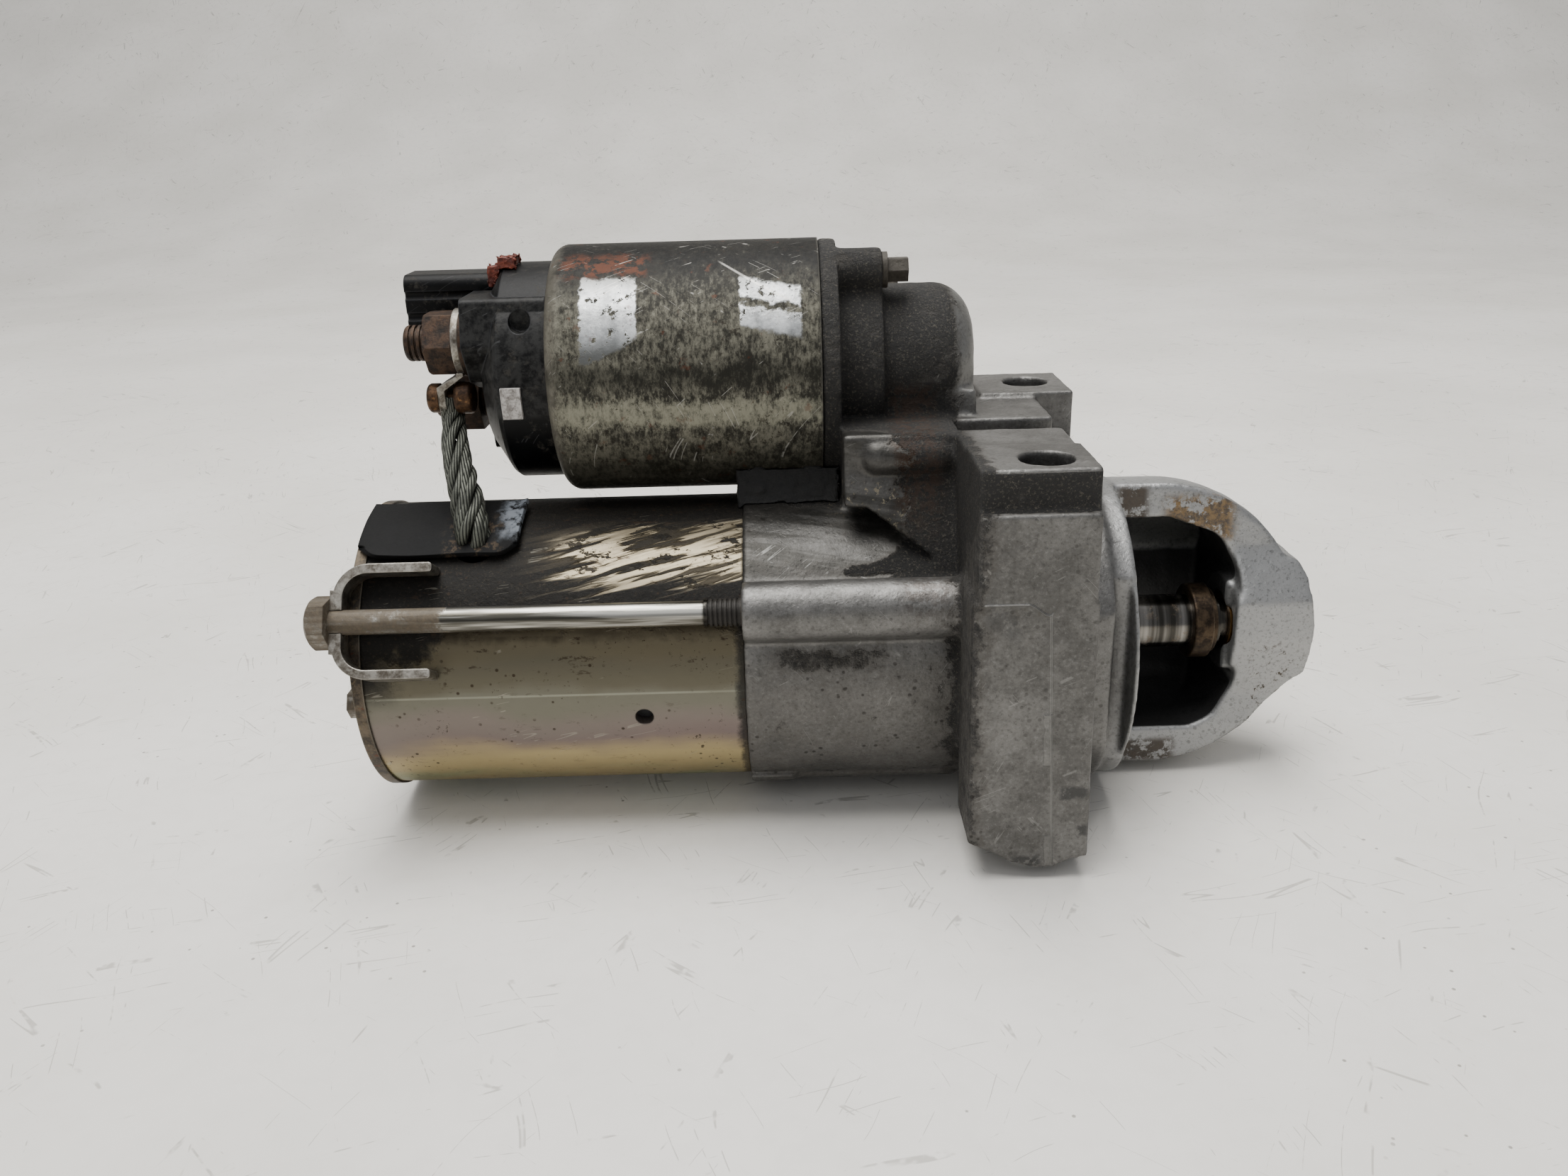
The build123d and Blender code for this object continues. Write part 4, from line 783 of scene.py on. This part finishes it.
MATERIALS = {
    "cast_alloy": cast_alloy(),
    "zinc_case": zinc_case(),
    "end_cap_steel": end_cap_steel(),
    "zinc_bolt": zinc_bolt(),
    "zinc_bracket": zinc_bracket(),
    "rusty_steel": rusty_steel(),
    "can_steel": can_steel(),
    "black_plastic": black_plastic(),
    "grey_plastic": grey_plastic(),
    "copper": copper(),
    "lead_braid": wire("lead_braid", srgb(98, 100, 91), srgb(30, 31, 28), 0.5, 0.42, 9.0),
    "black_rubber": black_rubber(),
    "seal_rubber": seal_rubber(),
    "sealant": sealant(),
    "bright_steel": bright_steel(),
    "collar_steel": collar_steel(),
    "bronze": plain_metal("bronze", srgb(62, 46, 28), srgb(112, 86, 52), 0.36, 1.2),
    "magnet": plain_metal("magnet", srgb(34, 34, 36), srgb(56, 56, 58), 0.55, 2.0, 0.3),
    "enamel_copper": wound_wire("enamel_copper", srgb(168, 92, 48), srgb(70, 34, 18), (1, 0.2, 0.2), 1.1),
    "core_steel": plain_metal("core_steel", srgb(74, 72, 70), srgb(118, 116, 112), 0.45, 0.6, 0.8, (1, 0.02, 0.02)),
    "carbon": plain_metal("carbon", srgb(30, 28, 27), srgb(58, 50, 46), 0.5, 1.0, 0.3),
    "nylon": nylon(),
    "gear_steel": plain_metal("gear_steel", srgb(92, 90, 88), srgb(142, 140, 136), 0.3, 1.4, 1.0),
    "spring_steel": plain_metal("spring_steel", srgb(88, 88, 92), srgb(150, 150, 154), 0.28, 0.8, 1.0),
}

slot_of = {entry["node"]: entry["material_slot"] for entry in frame["record"]["subparts"]}
for name, part in frame["nodes"].items():
    part.data.materials.clear()
    part.data.materials.append(MATERIALS[slot_of[name]])


# ------------------------------------------------------------------ shape finish on the casting
def soften(name, voxel, passes, relief=0.0, grain=2.0):
    """Rounds a cast part's edges and gives it a slightly uneven skin."""
    part = frame["nodes"][name]
    remesh = part.modifiers.new("skin", "REMESH")
    remesh.mode = "VOXEL"
    remesh.voxel_size = voxel * MM
    remesh.use_smooth_shade = True
    smooth = part.modifiers.new("round", "SMOOTH")
    smooth.factor = 0.5
    smooth.iterations = passes
    if relief:
        pattern = bpy.data.textures.new(name + "_relief", "CLOUDS")
        pattern.noise_scale = grain * MM
        pattern.noise_depth = 2
        push = part.modifiers.new("relief", "DISPLACE")
        push.texture = pattern
        push.texture_coords = "LOCAL"
        push.strength = relief * MM
        push.mid_level = 0.5


soften("drive_end_housing", 0.6, 6, 0.25, 4.0)


# ------------------------------------------------------------------ soft pieces
def new_piece(name, mesh, node, material):
    """A piece on the motor body that stands for a CAD node."""
    mesh.materials.append(MATERIALS[material])
    for face in mesh.polygons:
        face.use_smooth = True
    piece = bpy.data.objects.new(name, mesh)
    bpy.context.scene.collection.objects.link(piece)
    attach(piece, "motor")
    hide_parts(node)
    return piece


def reshaped(name, node, material, voxel, lump, size):
    """The CAD solid with soft corners and a lumpy skin, kept inside its old surface."""
    source = frame["nodes"][node]
    copy = bpy.data.objects.new(name + "_source", source.data.copy())
    bpy.context.scene.collection.objects.link(copy)
    remesh = copy.modifiers.new("skin", "REMESH")
    remesh.mode = "VOXEL"
    remesh.voxel_size = voxel * MM
    smooth = copy.modifiers.new("round", "SMOOTH")
    smooth.iterations = 6
    mesh = bpy.data.meshes.new_from_object(copy.evaluated_get(bpy.context.evaluated_depsgraph_get()))
    bpy.data.objects.remove(copy)
    mesh.materials.clear()
    for vertex in mesh.vertices:
        wave = noise.fractal(vertex.co / (size * MM), 0.7, 2.0, 4)
        vertex.co -= vertex.normal * (lump * MM * (0.5 + 0.5 * wave))
    return new_piece(name, mesh, node, material)


def strand(mesh, path, radius, sides, uv_layer, turns):
    """One round strand along a list of places, its radius growing from end to end."""
    rings = []
    for index, place in enumerate(path):
        ahead = path[min(index + 1, len(path) - 1)] - path[max(index - 1, 0)]
        ahead.normalize()
        side = ahead.cross(Vector((1.0, 0.0, 0.0))).normalized()
        other = ahead.cross(side)
        share = index / (len(path) - 1)
        thick = radius[0] + (radius[1] - radius[0]) * share
        ring = []
        for step in range(sides):
            angle = 2 * math.pi * step / sides
            ring.append(mesh.verts.new(place + (side * math.cos(angle) + other * math.sin(angle)) * thick))
        rings.append(ring)
    for index in range(len(rings) - 1):
        for step in range(sides):
            after = (step + 1) % sides
            face = mesh.faces.new((rings[index][step], rings[index][after], rings[index + 1][after], rings[index + 1][step]))
            for loop, (u, v) in zip(face.loops, ((step, index), (step + 1, index), (step + 1, index + 1), (step, index + 1))):
                loop[uv_layer].uv = (u / sides * turns, v / len(rings) * 9.0)
    mesh.faces.new(list(reversed(rings[0])))
    mesh.faces.new(rings[-1])


LEAD_PATH = [
    (-124.9, 3.6, 57.6), (-124.9, 3.4, 53.2), (-124.2, -0.4, 49.4), (-122.5, -5.8, 44.6),
    (-120.9, -9.8, 40.4), (-119.5, -13.4, 36.0), (-118.6, -15.8, 32.0), (-118.4, -15.2, 28.8),
]


def smooth_path(points, count):
    """Evenly spread places on a soft curve through the points."""
    places = []
    for index in range(count):
        spot = index / (count - 1) * (len(points) - 1)
        base = min(int(spot), len(points) - 2)
        share = spot - base
        before, first, last, after = (
            Vector(points[max(0, min(len(points) - 1, base + offset))]) for offset in (-1, 0, 1, 2)
        )
        curve = 2 * first + (last - before) * share
        curve += (2 * before - 5 * first + 4 * last - after) * share ** 2
        curve += (3 * first - before - 3 * last + after) * share ** 3
        places.append(curve / 2)
    return places


def braid():
    """The flat braided lead: wire bundles twisted loosely about one another."""
    made = bmesh.new()
    uv_layer = made.loops.layers.uv.new("UVMap")
    middle = smooth_path(LEAD_PATH, 90)
    bundles = 8
    for bundle in range(bundles):
        path = []
        for index, place in enumerate(middle):
            share = index / (len(middle) - 1)
            spread_out = 1.55 + 1.4 * share
            angle = 2 * math.pi * bundle / bundles + 7.6 * share + 0.3 * math.sin(9 * share + bundle * 2.1)
            wobble = 0.14 * math.sin(23 * share + bundle * 1.7)
            ahead = (middle[min(index + 1, 89)] - middle[max(index - 1, 0)]).normalized()
            side = ahead.cross(Vector((1.0, 0.0, 0.0))).normalized()
            other = ahead.cross(side)
            offset = side * math.cos(angle) * (spread_out * 0.85 + wobble) + other * math.sin(angle) * (spread_out + wobble)
            path.append(Vector(at(*(place + offset))))
        strand(made, path, (0.92 * MM, 1.3 * MM), 14, uv_layer, 1)
    for loose in range(5):
        path = []
        lift = 0.5 + 0.5 * random.random()
        for index, place in enumerate(middle[24:80]):
            share = index / 55
            angle = loose * 1.3 + 2.2 * share
            reach = 2.0 + 1.1 * share + lift * math.sin(math.pi * share)
            other = Vector((math.cos(angle) * reach, -abs(math.sin(angle)) * 0.6 * reach, 0.2 * math.sin(7 * share)))
            path.append(Vector(at(*(place + other * 0.8))))
        strand(made, path, (0.12 * MM, 0.1 * MM), 6, uv_layer, 1)
    mesh = bpy.data.meshes.new("lead_braid")
    made.to_mesh(mesh)
    made.free()
    return new_piece("lead_braid", mesh, "motor_lead", "lead_braid")


def flap():
    """The rubber flap: a bent sheet that has lifted a little at its free corners."""
    made = bmesh.new()
    across, round_steps = 46, 34
    start_x, end_x = -143.2, -108.4
    start_turn, end_turn = 54.0, 85.6
    corner = 5.0
    surface = []
    for row in range(round_steps + 1):
        line = []
        for column in range(across + 1):
            share_x = column / across
            share_turn = row / round_steps
            x = start_x + (end_x - start_x) * share_x
            turn = start_turn + (end_turn - start_turn) * share_turn
            from_side = min(share_x, 1 - share_x) * (end_x - start_x)
            inset = max(0.0, 1 - from_side / corner)
            low = max(0.0, 1 - row / 5)
            turn += inset ** 2 * low * 5.0
            lift = 0.35 * noise.noise(Vector((x / 9, turn / 12, 3.1)))
            lift += 0.55 * low ** 2 * (0.6 + 0.4 * math.sin(x / 4.0))
            lift += 0.5 * max(0.0, (share_x - 0.86) / 0.14) ** 2
            radius = 33.75 + max(0.0, 0.25 + lift)
            angle = math.radians(turn)
            line.append(made.verts.new(at(x, -radius * math.cos(angle), radius * math.sin(angle))))
        surface.append(line)
    for row in range(round_steps):
        for column in range(across):
            made.faces.new(
                (surface[row][column], surface[row][column + 1], surface[row + 1][column + 1], surface[row + 1][column])
            )
    mesh = bpy.data.meshes.new("rubber_flap")
    made.to_mesh(mesh)
    made.free()
    piece = new_piece("rubber_flap", mesh, "lead_flap", "black_rubber")
    shell = piece.modifiers.new("thickness", "SOLIDIFY")
    shell.thickness = 1.1 * MM
    shell.offset = 1.0
    rounded = piece.modifiers.new("round", "BEVEL")
    rounded.width = 0.35 * MM
    rounded.segments = 3
    return piece


braid()
flap()
reshaped("rubber_seal", "seal_block", "seal_rubber", 0.5, 0.9, 3.0)
reshaped("red_sealant", "sealant_bead", "sealant", 0.25, 0.7, 1.3)


# ------------------------------------------------------------------ floor, light and camera
def floor_material():
    p = Paint("floor")
    p.feed(p.shader.inputs["Specular IOR Level"], 0.35)
    broad = p.noise(120.0, 3.0, 0.5)
    fine = p.noise(6.0, 4.0, 0.6)
    color = p.mix(p.ramp(broad, 0.3, 0.7), srgb(222, 219, 212), srgb(234, 231, 225))
    color = p.mix(p.times(p.ramp(fine, 0.4, 0.7), 0.15), color, srgb(206, 203, 196))
    lines = p.either(*(floor_line(p, angle) for angle in (15, 64, -38, -71)))
    specks = p.times(p.ramp(p.cells(5.0), 0.09, 0.05), p.ramp(p.noise(60.0, 3.0), 0.46, 0.56))
    color = p.mix(p.times(lines, 0.45), color, srgb(112, 108, 100))
    color = p.mix(p.times(specks, 0.7), color, srgb(110, 106, 98))
    p.bump(p.add(p.times(fine, 0.4), p.times(lines, -0.5)), 0.1, 0.5)
    return p.finish(color, 0.42, 0.0)


def floor_line(p, angle):
    """Long fine marks across the bench at an angle from the motor axis."""
    lean, rise = math.cos(math.radians(angle)), math.sin(math.radians(angle))
    wave = p.times(p.math("SUBTRACT", p.noise(60.0, 2.0), 0.5), 14)
    joined = p.node("ShaderNodeCombineXYZ")
    p.feed(joined.inputs[0], p.times(p.add(p.times(p.x, lean), p.times(p.y, rise)), 0.04))
    p.feed(joined.inputs[1], p.add(p.times(p.x, -rise), p.times(p.y, lean), wave))
    joined.inputs[2].default_value = angle
    made = p.node("ShaderNodeTexNoise")
    p.feed(made.inputs["Vector"], joined.outputs[0])
    made.inputs["Scale"].default_value = 1 / 9
    made.inputs["Detail"].default_value = 2.0
    line = p.math("ABSOLUTE", p.math("SUBTRACT", made.outputs["Fac"], 0.5))
    return p.times(p.ramp(line, 0.0055, 0.0015), p.ramp(p.noise(16.0, 4.0, 0.7), 0.54, 0.6))


def add_sweep(floor_height, material):
    """The bench top, running back and up into the wall in one soft curve."""
    profile = [(-3.0, floor_height), (0.5, floor_height)]
    curve_start, curve_radius = 1.0, 0.9
    for step in range(25):
        angle = math.radians(step * 90 / 24)
        height = floor_height + curve_radius * (1 - math.cos(angle))
        profile.append((curve_start + curve_radius * math.sin(angle), height))
    profile.append((curve_start + curve_radius, 3.5))
    places = [(x, y, z) for y, z in profile for x in (-4, 4)]
    faces = [(2 * row, 2 * row + 1, 2 * row + 3, 2 * row + 2) for row in range(len(profile) - 1)]
    mesh = bpy.data.meshes.new("bench")
    mesh.from_pydata(places, [], faces)
    mesh.materials.append(material)
    for face in mesh.polygons:
        face.use_smooth = True
    sheet = bpy.data.objects.new("bench", mesh)
    bpy.context.scene.collection.objects.link(sheet)


add_sweep(cad_box[0][2] - 0.0002, floor_material())


def add_light(name, place, target, width, height, power, color):
    data = bpy.data.lights.new(name, "AREA")
    data.shape = "RECTANGLE"
    data.size = width
    data.size_y = height
    data.energy = power
    data.color = color
    lamp = bpy.data.objects.new(name, data)
    lamp.location = place
    lamp.rotation_mode = "QUATERNION"
    lamp.rotation_quaternion = (Vector(target) - Vector(place)).to_track_quat("-Z", "Y")
    bpy.context.scene.collection.objects.link(lamp)


middle = (-0.04, 0.05, -0.03)
add_light("overhead", (-0.2, 0.12, 1.4), middle, 1.5, 0.8, 44, (1.0, 0.985, 0.96))
add_light("front_fill", (-0.5, -1.3, 1.2), middle, 1.4, 1.0, 5, (0.98, 0.99, 1.0))
world = bpy.data.worlds.new("studio")
bpy.context.scene.world = world
world.use_nodes = True
world.node_tree.nodes["Background"].inputs["Color"].default_value = (0.93, 0.95, 1.0, 1.0)
world.node_tree.nodes["Background"].inputs["Strength"].default_value = 0.4

CAMERA_TILT, CAMERA_TURN, CAMERA_ROLL = 21.0, 0.4, 1.7
FOCAL_PIXELS, FRAME_PIXELS = 1739.0, 2212.0
lens = bpy.data.cameras.new("camera")
lens.sensor_width = 36.0
lens.lens = FOCAL_PIXELS / FRAME_PIXELS * lens.sensor_width
lens.clip_start = 0.01
camera = bpy.data.objects.new("camera", lens)
bpy.context.scene.collection.objects.link(camera)
camera.matrix_world = (
    Matrix.Translation(at(-49.5, -270.7, 114.8))
    @ Matrix.Rotation(math.radians(CAMERA_TURN), 4, "Z")
    @ Matrix.Rotation(math.radians(90 - CAMERA_TILT), 4, "X")
    @ Matrix.Rotation(math.radians(-CAMERA_ROLL), 4, "Z")
)
bpy.context.scene.camera = camera
